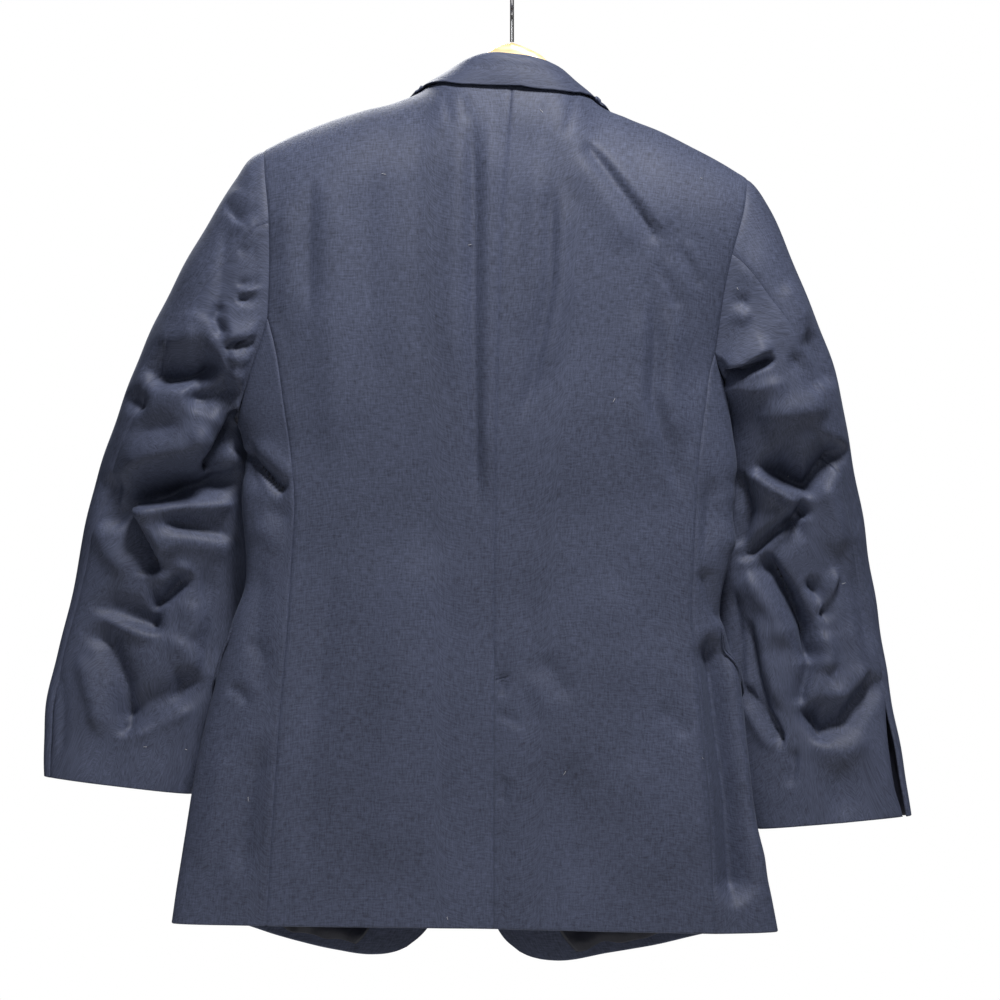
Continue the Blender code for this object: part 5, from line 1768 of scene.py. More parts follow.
@dataclass
class Collar:
    """The collar: stand, fold and fall in one piece of cloth from end to end."""

    looks: Looks
    neck_share: float = 0.68
    gorge: float = 0.066
    lifts: tuple[float, ...] = (6.0, 5.4, 4.6, 3.9)
    blended: int = 6
    depth: float = 54.0
    grid: Array | None = None

    def build(self) -> None:
        """Makes the collar and replaces its solid."""
        left = self._half(LEFT)
        right = self._half(RIGHT)
        middle = (left[:1] + right[:1]) / 2
        control = np.concatenate([right[:0:-1], middle, left[1:]])
        centre = len(right) - 1
        beside = slice(centre - self.blended, centre + self.blended + 1)
        first, last = control[beside][0].copy(), control[beside][-1].copy()
        share = np.abs(control[beside, -1] - first[-1]).sum(axis=-1)
        share = (share / share[-1])[:, None, None]
        control[beside] = first * (1 - share) + last * share
        self.grid = resampled(control, crowded(34, (0.004, 0.010)))
        normal = grid_normals(self.grid)
        if normal[len(normal) // 2, -1, 1] < 0:
            normal = -normal
        cloth = Cloth("collar", self.grid, normal, TURNED)
        cloth.build(self.looks.cloth, self.looks.cloth, Slot.CLOTH)

    @staticmethod
    def _shoulder(half: Half) -> tuple[Array, Array]:
        """Gives points of the cloth round the neck and shoulder, and their normals.

        Args:
            half: the side.

        Returns:
            The points and normals.
        """
        out = np.linspace(30, 190, 97)[:, None]
        turn = np.linspace(-1, 1, 97)[None]
        drop = half.ridge.at("drop", out) + SHOULDER_CAP * turn**2
        face = np.where(turn >= 0, 1.0, -1.0)
        points = BODY.surface(half.sign * out, drop, face)
        normal = grid_normals(points)
        if normal[:, 48, 2].sum() < 0:
            normal = -normal
        edge = np.interp(drop, half.front_edge.points[:, 1], half.front_edge.points[:, 0])
        neck = np.interp(out, half.neck.key, half.neck.column["drop"])
        cloth = np.where(turn >= 0, drop > neck, out > edge)
        return points[cloth], normal[cloth]

    @staticmethod
    def _kept_off(points: Array, surface: tuple, lift: float, share: Array | float = 1.0) -> Array:
        """Moves points that lie too near the cloth out to a height above it.

        Args:
            points: the points.
            surface: the cloth's points and normals.
            lift: the least height.
            share: how much of the push to take.

        Returns:
            The points.
        """
        places, normals = surface
        nearest = np.array([np.argmin(np.sum((places - point) ** 2, axis=1)) for point in points])
        height = np.einsum("ij,ij->i", points - places[nearest], normals[nearest])
        kernel = np.hanning(7)[1:-1]
        padded = np.pad(np.maximum(lift - height, 0), len(kernel) // 2, mode="edge")
        push = np.convolve(padded, kernel / kernel.sum(), "valid")
        return points + normals[nearest] * push[:, None] * share

    def _half(self, half: Half) -> Array:
        """Gives the sections from the back's middle to the front end on one side.

        Args:
            half: the side.

        Returns:
            The control points of each section.
        """
        rows = COLLARS[half.name]
        ways = np.concatenate([np.linspace(0, 0.984, 92), [0.990, 0.994, 0.997, 0.9988, 1]])
        ahead = ways > self.neck_share
        level = -CAMERA_Z / MM
        fold_y = rows.at("fold_y", ways)
        fold_drop = rows.at("fold_drop", ways)
        edge_drop = rows.at("edge_drop", ways)
        fold_drop = fold_drop + (level - fold_drop) * fold_y * MM / CAMERA_AWAY
        edge_y = np.where(ahead, 0.0, 1.0) * ramp(self.neck_share - ways, 0, 0.3) * self.depth
        edge_drop = edge_drop + (level - edge_drop) * edge_y * MM / CAMERA_AWAY
        fold_flat = np.stack([rows.at("fold_out", ways), fold_drop], axis=-1)
        edge_flat = np.stack([rows.at("edge_out", ways), edge_drop], axis=-1)
        fold = np.stack([half.sign * fold_flat[:, 0], fold_y, -fold_flat[:, 1]], axis=-1)
        surface = self._shoulder(half)
        face = np.where(ahead, -1.0, 1.0)
        lying, out = BODY.frame(half.sign * edge_flat[:, 0], edge_flat[:, 1], face)
        edge = self._kept_off(lying, surface, self.lifts[-1])
        neck_out = np.minimum(ways / self.neck_share, 1) * half.neck_out
        neck_drop = half.neck.at("drop", neck_out)
        neck = BODY.surface(half.sign * neck_out, neck_drop, 1.0)
        gorge = np.clip((ways - self.neck_share) / (1 - self.neck_share), 0, 1) * self.gorge
        roll = half.front_edge.at(gorge)
        front = BODY.surface(half.sign * roll[:, 0], roll[:, 1], -1.0)
        base = np.where(ahead[:, None], front, neck)
        stand = fold - base
        reach = np.linalg.norm(stand, axis=1, keepdims=True)
        up = stand / reach
        off = self._square_to(up, base, out)
        rise = (0.6 + 2.8 * np.exp(-(((ways - self.neck_share + 0.05) / 0.13) ** 2)))[:, None]
        falls = self._falls(half, ways, (fold_flat, edge_flat), fold, edge, off, surface)
        columns = [
            base + up * rise - off * WALL,
            base + up * np.maximum(reach * 0.5, rise + 0.8) - off * WALL,
            base + up * np.maximum(reach - 3.0, 2.2) - off * (WALL - 0.2),
            base + up * np.maximum(reach, 3.4) + off * 0.8,
            base + up * np.maximum(reach - 3.0, 0.4) + off * (WALL + 1.8),
            *falls,
            edge,
        ]
        return np.stack(columns, axis=1)

    @staticmethod
    def _square_to(up: Array, base: Array, out: Array) -> Array:
        """Gives the direction off the stand, eased along the collar.

        Args:
            up: the directions up the stand.
            base: the stand's foot.
            out: the cloth's normals.

        Returns:
            Unit directions.
        """
        off = unit(np.cross(up, np.gradient(base, axis=0)))
        off = off * np.where(np.einsum("ij,ij->i", off, out) < 0, -1.0, 1.0)[:, None]
        kernel = np.hanning(11)[1:-1]
        padded = np.pad(off, ((4, 4), (0, 0)), mode="edge")
        kernel = kernel / kernel.sum()
        return unit(np.stack([np.convolve(padded[:, k], kernel, "valid") for k in range(3)], axis=1))

    def _falls(
        self, half: Half, ways: Array, flats: tuple, fold: Array, edge: Array, off: Array, surface: tuple
    ) -> list[Array]:
        """Gives the lines of the fall between the fold and the edge.

        Args:
            half: the side.
            ways: shares of the way from the back's middle to the front end.
            flats: flat points of the fold and the edge.
            fold: the fold's points.
            edge: the edge's points.
            off: the directions off the stand.
            surface: the cloth's points and normals.

        Returns:
            The lines.
        """
        cut = LAPELS[half.name]
        fold_flat, edge_flat = flats
        notch = ramp(ways, 0.82, 1.0)[:, None]
        settled = ramp(ways, 0.74, 0.88)[:, None]
        pressed = ramp(ways, 0.66, 0.82)[:, None]
        top = half.front_edge.at(cut.gorge)
        tip = np.array(cut.tip, float)
        falls = []
        for share, lift in zip((0.16, 0.38, 0.70), self.lifts):
            plain = fold_flat * (1 - share) + edge_flat * share
            end = top + (tip - top) * share * 0.94 - (0, 1.0)
            flat = plain * (1 - notch) + end * notch
            resting, away = BODY.frame(half.sign * flat[:, 0], flat[:, 1], -1.0)
            standing = fold * (1 - share) + edge * share + off * 3.4 * (1.2 - share)
            standing = standing * (1 - settled) + (resting + away * lift) * settled
            falls.append(self._kept_off(standing, surface, lift, pressed))
        return falls


@dataclass
class HipPockets:
    """The jets of both hip pockets, each a thin folded strip on the panels."""

    looks: Looks
    width: float = 6.0
    thick: float = 1.3
    raised: float = 2.4
    bulge: float = 0.5
    apart: float = 1.15
    route: Table = field(default_factory=lambda: Table(
        "share round drop", [(0, 14, 632), (0.45, -14, 690), (0.7, -52, 705), (1, -112, 712)]
    ))

    def build(self) -> None:
        """Makes the four jets."""
        for half in (LEFT, RIGHT):
            for place, offset in (("upper", -0.5), ("lower", 0.5)):
                name = f"jet_{place}_{half.name}"
                grid = self._strip(half, offset)
                normal = outward_normals(grid, body_centre(grid))
                bulge = self.bulge * np.sin(np.linspace(0, math.pi, grid.shape[1]))[None, :, None]
                grid = grid + normal * (self.raised + bulge)
                edges = Edges(Edge.FREE, Edge.FREE, Edge.FREE, Edge.FREE)
                cloth = Cloth(name, grid, normal, edges, wall=self.thick)
                cloth.build(self.looks.cloth, self.looks.cloth, Slot.CLOTH)

    def _strip(self, half: Half, offset: float) -> Array:
        """Lays one strip along the pocket's mouth.

        Args:
            half: the side.
            offset: its place below the mouth's line, in widths.

        Returns:
            A grid of points.
        """
        shares = crowded(60, (0.002, 0.006, 0.012))
        level = self.route.at("drop", shares)
        around = self.route.at("round", shares)
        turn = self._turn(half, around, level)
        columns = []
        for edge in np.linspace(-0.5, 0.5, 9):
            drop = level + (offset * self.apart + edge) * self.width
            columns.append(BODY.around(half.sign, turn, drop))
        return np.stack(columns, axis=1)

    @staticmethod
    def _turn(half: Half, distance: Array, drop: Array) -> Array:
        """Finds the turn at a distance from the side line, measured round the body.

        Args:
            half: the side.
            distance: how far round, towards the back.
            drop: distance below the hook's bearing.

        Returns:
            The turns.
        """
        angles = np.linspace(-1.5, 1.5, 241)
        lines = BODY.around(half.sign, angles[None], drop[:, None] * np.ones(len(angles)))
        length = run_along(lines, 1)
        zero = len(angles) // 2
        return np.array([np.interp(far, row - row[zero], angles) for far, row in zip(distance, length)])


@dataclass
class Linings:
    """The satin inside each front, with its pleat loose above the hem."""

    looks: Looks
    panels: BodyPanels
    lift: float = 9.0
    pleat: float = 3.4
    gap: float = 0.8
    bulge_at: float = 0.965
    bulge: float = 1.6

    def build(self) -> None:
        """Makes the two linings a little inside the fronts."""
        first_row = int(np.searchsorted(DOWN, ARMHOLE_SHARE))
        first_column = int(np.searchsorted(FRONT_ACROSS, 0.25))
        for half in (LEFT, RIGHT):
            front = f"front_{half.name}"
            grid = self.panels.grids[front] - self.panels.normals[front] * (WALL + self.gap)
            grid = grid[first_row:, first_column:].copy()
            normal = self.panels.normals[front][first_row:, first_column:]
            down = np.linspace(0, 1, len(grid))[:, None]
            along = grid[..., 0]
            ragged = self.pleat * ripple(along, 0 * along, 13, 40 + half.sign)
            grid[..., 2] += down**6 * (self.lift + ragged)
            loose = np.exp(-(((down - self.bulge_at) / 0.02) ** 2))
            grid -= normal * (loose * (self.bulge + 1.2 * ripple(along, 0 * along, 9, 50)))[..., None]
            edges = Edges(Edge.HIDDEN, Edge.FREE, Edge.FREE, Edge.HIDDEN)
            cloth = Cloth(f"lining_{half.name}", grid, normal, edges, wall=LINING_WALL)
            cloth.build(self.looks.lining, self.looks.lining, Slot.LINING)


def plain_piece(
    name: str, points: Array, faces: list, look: bpy.types.Material, slot: Slot
) -> bpy.types.Object:
    """Makes one rigid piece from points in millimetres.

    Args:
        name: the piece's name.
        points: its points.
        faces: its faces.
        look: its material.
        slot: the record's slot; not used.

    Returns:
        The piece, on the blazer's body.
    """
    mesh = bpy.data.meshes.new(name)
    mesh.from_pydata((np.asarray(points, float) * MM).tolist(), [], faces)
    mesh.shade_smooth()
    mesh.set_sharp_from_angle(angle=math.radians(40))
    mesh.materials.append(look)
    piece = placed(name, mesh)
    log.info("%s: %d faces", name, len(faces))
    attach(piece, "root")
    return piece


def turned(centre: Array, profile: Rows, sides: int) -> tuple[list, list]:
    """Turns a profile round an axis along Y.

    Args:
        centre: the place of its axis.
        profile: (radius, y) rows, the first and last on the axis.
        sides: points round each ring.

    Returns:
        Its points and faces.
    """
    points = [(centre[0], centre[1] + profile[0][1], centre[2])]
    for radius, y in profile[1:-1]:
        for k in range(sides):
            angle = 2 * math.pi * k / sides
            across, up = radius * math.cos(angle), radius * math.sin(angle)
            points.append((centre[0] + across, centre[1] + y, centre[2] + up))
    points.append((centre[0], centre[1] + profile[-1][1], centre[2]))
    rings = len(profile) - 2
    last = len(points) - 1
    faces = []
    for k in range(sides):
        after = (k + 1) % sides
        faces.append((0, 1 + k, 1 + after))
        for ring in range(rings - 1):
            a = 1 + ring * sides
            faces.append((a + k, a + sides + k, a + sides + after, a + after))
        a = 1 + (rings - 1) * sides
        faces.append((a + k, last, a + after))
    return points, faces


@dataclass
class FrontButtons:
    """The two front buttons: a rim, a dished face, four holes of painted shade and crossed thread."""

    looks: Looks
    thick: float = 3.4
    hole: float = 0.95
    spacing: float = 1.9
    strand: float = 0.28

    def build(self) -> None:
        """Makes each button where its solid is."""
        for number, (x, drop) in enumerate(BUTTON_PLACES, start=1):
            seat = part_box(f"button_{number}")[1][1] / MM
            centre = np.array([x, seat, -drop])
            body = self._body(centre)
            piece = plain_piece(f"horn_button_{number}", *body, self.looks.horn, Slot.BUTTONS)
            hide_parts(f"button_{number}")
            self._thread(number, centre)
            log.info("button %d sits at y %.1f mm", number, seat)

    def _body(self, centre: Array) -> tuple[list, list]:
        """Gives the turned button, solid: its holes are only painted, as dark discs on its face.

        Args:
            centre: the middle of the button's seat.

        Returns:
            Its points and faces.
        """
        r = BUTTON_RADIUS
        t = self.thick
        profile = [
            (0, 1.1 - t), (r * 0.30, 1.1 - t), (r * 0.58, 0.95 - t), (r * 0.66, 0.75 - t),
            (r * 0.72, 0.25 - t), (r * 0.78, 0.02 - t), (r * 0.86, -t), (r * 0.94, 0.22 - t),
            (r * 0.99, 0.7 - t), (r, 1.2 - t), (r * 0.97, -0.9), (r * 0.88, -0.35),
            (r * 0.55, 0), (0, 0),
        ]
        return turned(centre, profile, 56)

    def _thread(self, number: int, centre: Array) -> None:
        """Makes the holes' painted shade, thin near-black discs on the face, and the crossed thread between
        them.

        Args:
            number: the button's number.
            centre: the middle of the button's seat.
        """
        face = np.array([centre[0], centre[1] + 1.1 - self.thick, centre[2]])
        hole, gap = self.hole, self.spacing
        # Painted shade: each hole is a thin disc of the near-black lining on the face, not a cut through the
        # button.
        profile = [(0, 0.02), (hole * 0.8, 0.02), (hole, -0.04), (hole * 0.9, 0.3), (0, 0.3)]
        hole_shade_discs, strands = [], []
        for sx in (-1, 1):
            for sz in (-1, 1):
                hole_shade_discs.append(turned(face + (sx * gap, -0.05, sz * gap), profile, 16))
            start, end = face + (-sx * gap, -0.35, -gap), face + (sx * gap, -0.35, gap)
            strands += [rod(start, end, self.strand, shift, lift=0.45) for shift in (-0.3, 0.3)]
        # The hole discs take the lining's near-black colour as painted shade.
        plain_piece(f"button_holes_{number}", *gathered(hole_shade_discs), self.looks.lining, Slot.BUTTONS)
        plain_piece(f"button_thread_{number}", *gathered(strands), self.looks.thread, Slot.BUTTONS)


def gathered(parts: list[tuple[list, list]]) -> tuple[list, list]:
    """Joins the points and faces of several parts.

    Args:
        parts: each part's points and faces.

    Returns:
        The points and faces of the whole.
    """
    points, faces = [], []
    for more, shape in parts:
        faces += [tuple(i + len(points) for i in face) for face in shape]
        points += more
    return points, faces


def rod(start: Array, end: Array, radius: float, shift: float, lift: float) -> tuple[list, list]:
    """Gives a short bowed strand of thread with closed ends.

    Args:
        start: one end.
        end: the other end.
        radius: its radius.
        shift: how far it lies to the side.
        lift: how far its middle stands out, towards -Y.

    Returns:
        Its points and faces.
    """
    sides, steps = 8, 9
    way = unit(end - start)
    out = np.array([0.0, -1.0, 0.0])
    beside = np.cross(way, out)
    points = []
    for k in range(steps):
        share = k / (steps - 1)
        bow = math.sin(math.pi * share)
        centre = start + (end - start) * share + out * lift * bow ** 0.5 + beside * shift
        for j in range(sides):
            angle = 2 * math.pi * j / sides
            points.append(tuple(centre + radius * (out * math.cos(angle) + beside * math.sin(angle))))
    faces = [tuple(range(sides))[::-1], tuple(range((steps - 1) * sides, steps * sides))]
    for k in range(steps - 1):
        for j in range(sides):
            a, b = k * sides + j, k * sides + (j + 1) % sides
            faces.append((a, b, b + sides, a + sides))
    return points, faces


@dataclass
class Stitching:
    """Rows of thread stitches, laid along a line by one node tree."""

    looks: Looks
    tree: bpy.types.NodeTree | None = None
    inset: float = 5.0
    front_inset: float = 6.0
    hole_half: float = 11.0
    hole_wide: float = 1.1

    def rows(
        self, name: str, lines: list[Array], length: float, pitch: float, thick: float, square: bool
    ) -> None:
        """Makes one piece of stitches.

        Args:
            name: the piece's name.
            lines: points in millimetres for each row of stitches.
            length: one stitch's length.
            pitch: the distance from stitch to stitch.
            thick: the thread's thickness.
            square: whether the stitches lie across the line, as round a buttonhole.
        """
        points, edges = [], []
        for line in lines:
            first = len(points)
            points += (np.asarray(line) * MM).tolist()
            edges += [(first + k, first + k + 1) for k in range(len(line) - 1)]
        mesh = bpy.data.meshes.new(name)
        mesh.from_pydata(points, edges, [])
        guide = placed(f"{name}_line", mesh)
        if self.tree is None:
            self.tree = self._make_tree()
        modifier = guide.modifiers.new("stitches", "NODES")
        modifier.node_group = self.tree
        turn = math.pi / 2 if square else 0.0
        values = {"Length": length * MM, "Pitch": pitch * MM, "Thickness": thick * MM, "Turn": turn}
        for item in self.tree.interface.items_tree:
            if item.item_type == "SOCKET" and item.name in values:
                modifier[item.identifier] = values[item.name]
        graph = bpy.context.evaluated_depsgraph_get()
        done = bpy.data.meshes.new_from_object(guide.evaluated_get(graph))
        bpy.data.objects.remove(guide)
        done.name = name
        piece = placed(name, done)
        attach(piece, "root")
        log.info("%s: %d faces", name, len(done.polygons))

    def _make_tree(self) -> bpy.types.NodeTree:
        """Builds the tree: stitches at an even pitch along a line.

        Returns:
            The tree.
        """
        group = bpy.data.node_groups.new("stitch_row", "GeometryNodeTree")
        face = group.interface
        face.new_socket("Geometry", in_out="INPUT", socket_type="NodeSocketGeometry")
        for name, value in (("Length", 0.002), ("Pitch", 0.004), ("Thickness", 0.0003), ("Turn", 0.0)):
            face.new_socket(name, in_out="INPUT", socket_type="NodeSocketFloat").default_value = value
        face.new_socket("Geometry", in_out="OUTPUT", socket_type="NodeSocketGeometry")
        tree = Tree(group)
        inputs = tree.add("NodeGroupInput").outputs
        curve = tree.add("GeometryNodeMeshToCurve", Mesh=inputs["Geometry"]).outputs[0]
        even = tree.add("GeometryNodeResampleCurve", {"mode": "LENGTH"}, Curve=curve, Length=inputs["Pitch"])
        tangent = tree.add("GeometryNodeInputTangent")
        turn = tree.add("FunctionNodeAlignRotationToVector", {"axis": "Z"}, Vector=tangent.outputs[0])
        spin = tree.add("FunctionNodeAxisAngleToRotation", Axis=(1, 0, 0), Angle=inputs["Turn"])
        facing = tree.add(
            "FunctionNodeRotateRotation", {"rotation_space": "LOCAL"},
            Rotation=turn.outputs[0], Rotate_By=spin.outputs[0],
        )
        bead = tree.add("GeometryNodeMeshUVSphere", Segments=8, Rings=6, Radius=0.5)
        thick = inputs["Thickness"]
        size = tree.add("ShaderNodeCombineXYZ", X=thick, Y=thick, Z=inputs["Length"])
        placed = tree.add(
            "GeometryNodeInstanceOnPoints", Points=even.outputs[0], Instance=bead.outputs[0],
            Rotation=facing.outputs[0], Scale=size.outputs[0],
        )
        whole = tree.add("GeometryNodeRealizeInstances", Geometry=placed.outputs[0])
        dressed = tree.add("GeometryNodeSetMaterial", Geometry=whole.outputs[0], Material=self.looks.thread)
        tree.add("NodeGroupOutput", n0=dressed.outputs[0])
        return group

    def build(self, lapels: Lapels, collar: Collar, panels: BodyPanels) -> None:
        """Sews the edges and the buttonholes.

        Args:
            lapels: the lapels.
            collar: the collar.
            panels: the body's panels.
        """
        lines = [inside_line(lapels.grids[name], self.inset)[4:-10] for name in ("left", "right")]
        lines.append(inside_line(collar.grid, self.inset)[5:-5])
        for name in ("left", "right"):
            grid = panels.grids[f"front_{name}"][:, ::-1]
            start = int(np.searchsorted(DOWN, LAPELS[name].foot)) + 4
            lines.append(inside_line(grid, self.front_inset)[start:-6])
        self.rows("edge_stitches", lines, 1.5, 3.6, 0.42, square=False)
        self.rows("buttonhole_stitches", self._holes(), 2.3, 0.62, 0.5, square=True)

    def _holes(self) -> list[Array]:
        """Gives the outlines of the two front buttonholes and the one in the left lapel."""
        outlines = [self._on_front(x - self.hole_half, drop, 1.0, 0.0) for x, drop in BUTTON_PLACES]
        return [*outlines, self._on_front(128.0, 230.0, 0.82, 0.42, lift=5.0)]

    def _on_front(self, x: float, drop: float, way_x: float, way_drop: float, lift: float = 0.3) -> Array:
        """Gives a long narrow loop on the left front, 22 mm long.

        Args:
            x: its middle towards the wearer's left.
            drop: its middle below the hook's bearing.
            way_x: how far it runs along x.
            way_drop: how far it runs down.
            lift: how far it lies above the cloth.

        Returns:
            The loop's points.
        """
        angle = np.linspace(0, 2 * math.pi, 41)
        along = self.hole_half * np.cos(angle)
        beside = self.hole_wide * np.sin(angle)
        flat_x = x + along * way_x - beside * way_drop
        flat_drop = drop + along * way_drop + beside * way_x
        line, out = BODY.frame(flat_x, flat_drop, -1.0)
        return line + out * lift


def inside_line(grid: Array, distance: float) -> Array:
    """Gives the line on a grid that runs at a distance inside its last column.

    Args:
        grid: the cloth's points.
        distance: how far inside the edge.

    Returns:
        The line's points.
    """
    left = run_along(grid[:, ::-1], 1)
    return np.array([
        [np.interp(distance, left[r], grid[r, ::-1, k]) for k in range(3)] for r in range(len(grid))
    ])


WOODS = {
    +1: Table("out top height thick", [
        (0, 70.8, 66, 7), (14, 75, 64, 7), (26, 82, 60, 7), (40, 93, 52, 7.5),
        (54, 108.5, 43, 8), (66, 115, 39, 8), (80, 119, 38, 8), (108, 130.5, 36, 8.5),
        (144, 140.5, 34, 9), (183, 153.5, 32, 9.5), (206, 163.5, 28, 9),
    ]),
    -1: Table("out top height thick", [
        (0, 70.8, 66, 7), (14, 76, 63, 7), (32, 87, 57, 7), (45, 104.5, 45, 7.5),
        (54, 118.5, 37, 8), (66, 127, 36.5, 8), (80, 133.5, 36.5, 8), (110, 148.5, 35.5, 8.5),
        (140, 159, 34, 9), (170, 174, 32, 9.5), (196, 188, 28, 9),
    ]),
}


@dataclass
class Hanger:
    """The wooden bar, rounded at its ends, and its bent wire hook."""

    looks: Looks
    wire: float = 3.8
    inner_radius: float = 16.0

    def build(self) -> None:
        """Makes the bar and the hook and replaces their solids."""
        self._bar()
        self._hook()

    def _bar(self) -> None:
        """Sweeps the bar from shoulder to shoulder."""
        sides = 40
        angle = 2 * np.pi * np.arange(sides) / sides
        rings = []
        for sign in (-1, +1):
            rows = WOODS[sign]
            tip = rows.key[-1] + np.array([0, 1.6, 2.8, 3.4])
            outs = np.concatenate([np.linspace(0, rows.key[-1], 90), tip[1:]])
            outs = outs[::-1] if sign < 0 else outs[1:]
            for out in outs:
                past = max(out - rows.key[-1], 0) / 3.5
                small = math.sqrt(max(1 - past**2, 0.0))
                height = rows.at("height", out) * (0.55 + 0.45 * small)
                thick = rows.at("thick", out) * (0.35 + 0.65 * small)
                y = thick * np.sign(np.sin(angle)) * np.abs(np.sin(angle)) ** 0.8
                z = height / 2 * np.sign(np.cos(angle)) * np.abs(np.cos(angle)) ** 0.8
                middle = rows.at("top", out) + rows.at("height", out) / 2
                rings.append(np.stack([np.full(sides, sign * out), y, z - middle], axis=-1))
        points = np.array(rings).reshape(-1, 3)
        at = np.arange(len(points)).reshape(len(rings), sides)
        after = np.roll(at, -1, axis=1)
        quads = np.stack([at[:-1], after[:-1], after[1:], at[1:]], axis=-1).reshape(-1, 4).tolist()
        faces = quads + [at[0][::-1].tolist(), at[-1].tolist()]
        piece = plain_piece("wood_bar", points, faces, self.looks.wood, Slot.WOOD)
        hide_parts("hanger_wood")

    def _hook(self) -> None:
        """Bends the wire over the rail's place and down into the bar."""
        radius = self.inner_radius + self.wire / 2
        route = []
        for degrees in range(205, -46, -5):
            angle = math.radians(degrees)
            route.append((0, radius * math.cos(angle), -self.inner_radius + radius * math.sin(angle)))
        stem = [(0, 7.2, -36.5), (0, 2.6, -42.0), (0, 0.3, -48.0), (0, 0, -55), (0, 0, -70.2)]
        route += Path([route[-1], *stem]).at(np.linspace(0, 1, 26))[1:].tolist()
        curve = bpy.data.curves.new("wire_hook", "CURVE")
        curve.dimensions = "3D"
        curve.bevel_depth = self.wire / 2 * MM
        curve.bevel_resolution = 6
        curve.use_fill_caps = True
        line = curve.splines.new("POLY")
        line.points.add(len(route) - 1)
        for point, place in zip(line.points, route):
            point.co = (*(value * MM for value in place), 1)
        shape = placed("wire_hook_line", curve)
        graph = bpy.context.evaluated_depsgraph_get()
        mesh = bpy.data.meshes.new_from_object(shape.evaluated_get(graph))
        bpy.data.objects.remove(shape)
        mesh.materials.clear()
        mesh.materials.append(self.looks.steel)
        mesh.shade_smooth()
        hook = placed("wire_hook", mesh)
        log.info("wire_hook: %d faces", len(mesh.polygons))
        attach(hook, "root")
        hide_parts("hanger_hook")


@dataclass
class Lint:
    """A few pale specks and fibres that cling to the wool, where the photograph shows them."""

    looks: Looks
    fibre: float = 0.16
    places: tuple[tuple[int, int], ...] = (
        (541, 118), (699, 182), (735, 291), (790, 476), (846, 584), (142, 749), (183, 752),
        (448, 914), (250, 797), (701, 756), (564, 770), (470, 250), (386, 180), (612, 402),
    )

    def build(self) -> None:
        """Lays each fibre on the back or on a sleeve."""
        graph = bpy.context.evaluated_depsgraph_get()
        draw = np.random.default_rng(12)
        fibres = []
        for px, py in self.places:
            x = (PHOTO_MIDDLE - px) * PHOTO_SCALE
            drop = (py + PHOTO_ABOVE) * PHOTO_SCALE
            hit, place, _, _, thing, _ = bpy.context.scene.ray_cast(
                graph, (x * MM, 0.4, -drop * MM), (0, -1, 0)
            )
            if not hit or not thing.name.endswith("_cloth"):
                continue
            centre = np.array(place) / MM + (0, 0.25, 0)
            lean = draw.uniform(0, math.pi)
            size = draw.uniform(0.8, 2.2)
            step = np.array([math.cos(lean), 0, math.sin(lean)]) * size
            fibres.append(rod(centre - step, centre + step, self.fibre, 0.0, lift=-0.5))
        plain_piece("lint", *gathered(fibres), self.looks.lint, Slot.CLOTH)


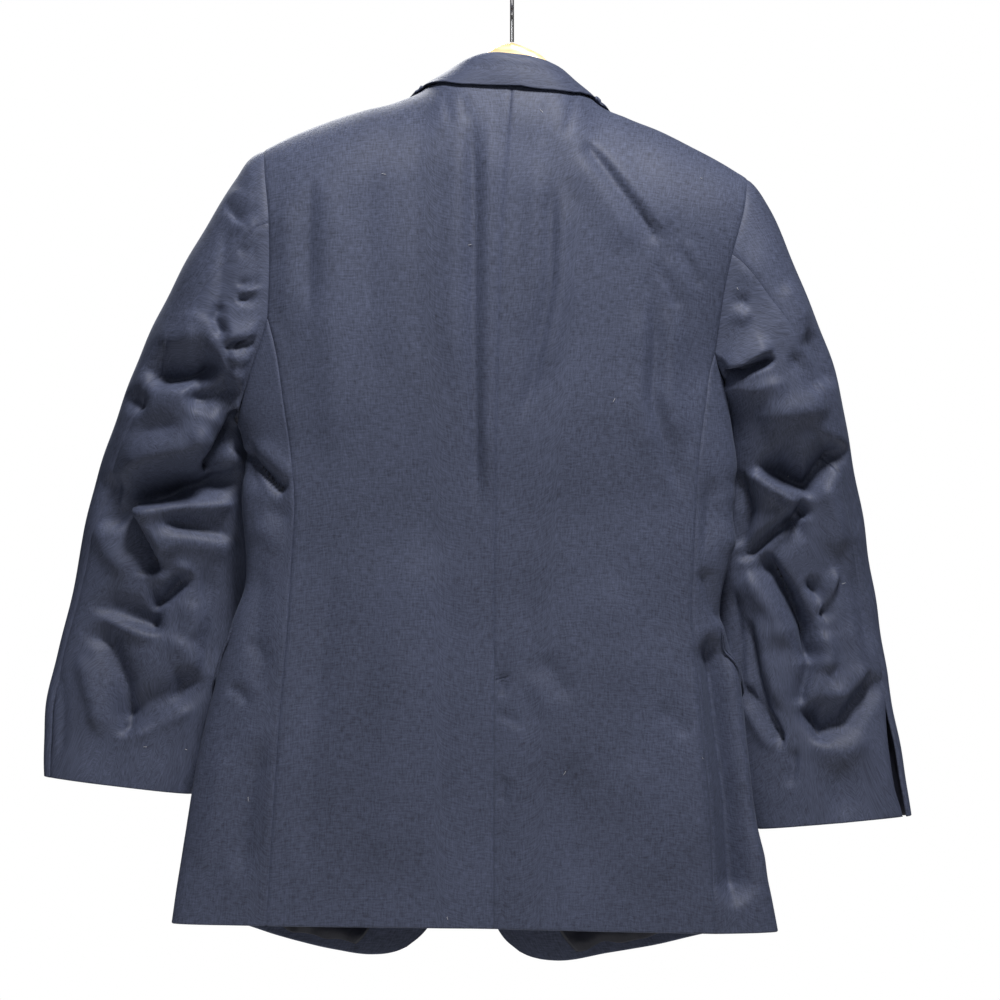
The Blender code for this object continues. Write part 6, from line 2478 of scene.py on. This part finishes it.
@dataclass
class Studio:
    """The camera behind the blazer, a pale floor, a white room and soft lights."""

    frame_width: float = 0.95
    sensor: float = 36.0
    floor_z: float = -1.25
    floor_half: float = 1.5
    room_light: float = 0.04

    def build(self) -> None:
        """Makes everything round the blazer."""
        self._camera()
        self._floor()
        self._room()
        self._light("key", (-0.3, 1.05, 1.2), (0.0, 0.0, -0.45), 0.4, 67, (1.0, 0.985, 0.97))
        self._light("side", (0.5, 2.4, 0.2), (0.0, 0.0, -0.5), 0.8, 7, (0.96, 0.98, 1.0))
        self._light("front", (0.7, -1.5, 1.0), (0.0, 0.0, -0.45), 0.8, 42, (1.0, 1.0, 1.0))
        bpy.context.scene.view_settings.view_transform = "Standard"

    def _camera(self) -> None:
        """Places the camera straight behind, at the photograph's scale."""
        data = bpy.data.cameras.new("camera")
        data.sensor_width = self.sensor
        data.lens = self.sensor * CAMERA_AWAY / self.frame_width
        camera = placed("camera", data)
        camera.location = (CAMERA_X, CAMERA_AWAY, CAMERA_Z)
        camera.rotation_euler = (math.radians(90), 0, math.radians(180))
        bpy.context.scene.camera = camera

    def _floor(self) -> None:
        """Makes the plain pale floor under the blazer."""
        half, level = self.floor_half, self.floor_z
        points = [(-half, -half, level), (half, -half, level), (half, half, level), (-half, half, level)]
        mesh = bpy.data.meshes.new("floor")
        mesh.from_pydata(points, [], [(0, 1, 2, 3)])
        mesh.materials.append(Finish("pale_floor", (0.7, 0.7, 0.7), 0.9).start()[0])
        floor = placed("floor", mesh)

    def _room(self) -> None:
        """Makes a room that looks white and gives only a little light."""
        world = bpy.data.worlds.new("room")
        world.use_nodes = True
        world.node_tree.nodes.clear()
        tree = Tree(world.node_tree)
        seen = tree.add("ShaderNodeLightPath").outputs["Is Camera Ray"]
        strength = tree.add("ShaderNodeMapRange", Value=seen, To_Min=self.room_light, To_Max=1.0)
        room = tree.add("ShaderNodeBackground", Strength=strength.outputs[0], Color=(1, 1, 1, 1))
        tree.add("ShaderNodeOutputWorld", Surface=room.outputs[0])
        bpy.context.scene.world = world

    @staticmethod
    def _light(name: str, place: tuple, aim: tuple, size: float, power: float, colour: Colour) -> None:
        """Adds one soft square light that faces a point.

        Args:
            name: the light's name.
            place: where it stands.
            aim: the point that it faces.
            size: its side.
            power: its power.
            colour: its colour.
        """
        data = bpy.data.lights.new(name, "AREA")
        data.size = size
        data.energy = power
        data.color = colour
        light = placed(name, data)
        light.location = place
        way = np.array(aim, float) - np.array(place, float)
        flat = math.hypot(way[0], way[1])
        light.rotation_euler = (math.atan2(flat, -way[2]), 0, math.atan2(way[1], way[0]) - math.pi / 2)


def main() -> None:
    """Builds the blazer, its hanger and the studio in order."""
    logging.basicConfig(level=logging.INFO, format="%(name)s: %(message)s")
    Studio().build()
    looks = Looks()
    panels = BodyPanels(looks)
    panels.build()
    Sleeves(looks, panels).build()
    lapels = Lapels(looks)
    lapels.build()
    collar = Collar(looks)
    collar.build()
    HipPockets(looks).build()
    Linings(looks, panels).build()
    FrontButtons(looks).build()
    Stitching(looks).build(lapels, collar, panels)
    Hanger(looks).build()
    Lint(looks).build()


if __name__ == "__main__":
    main()
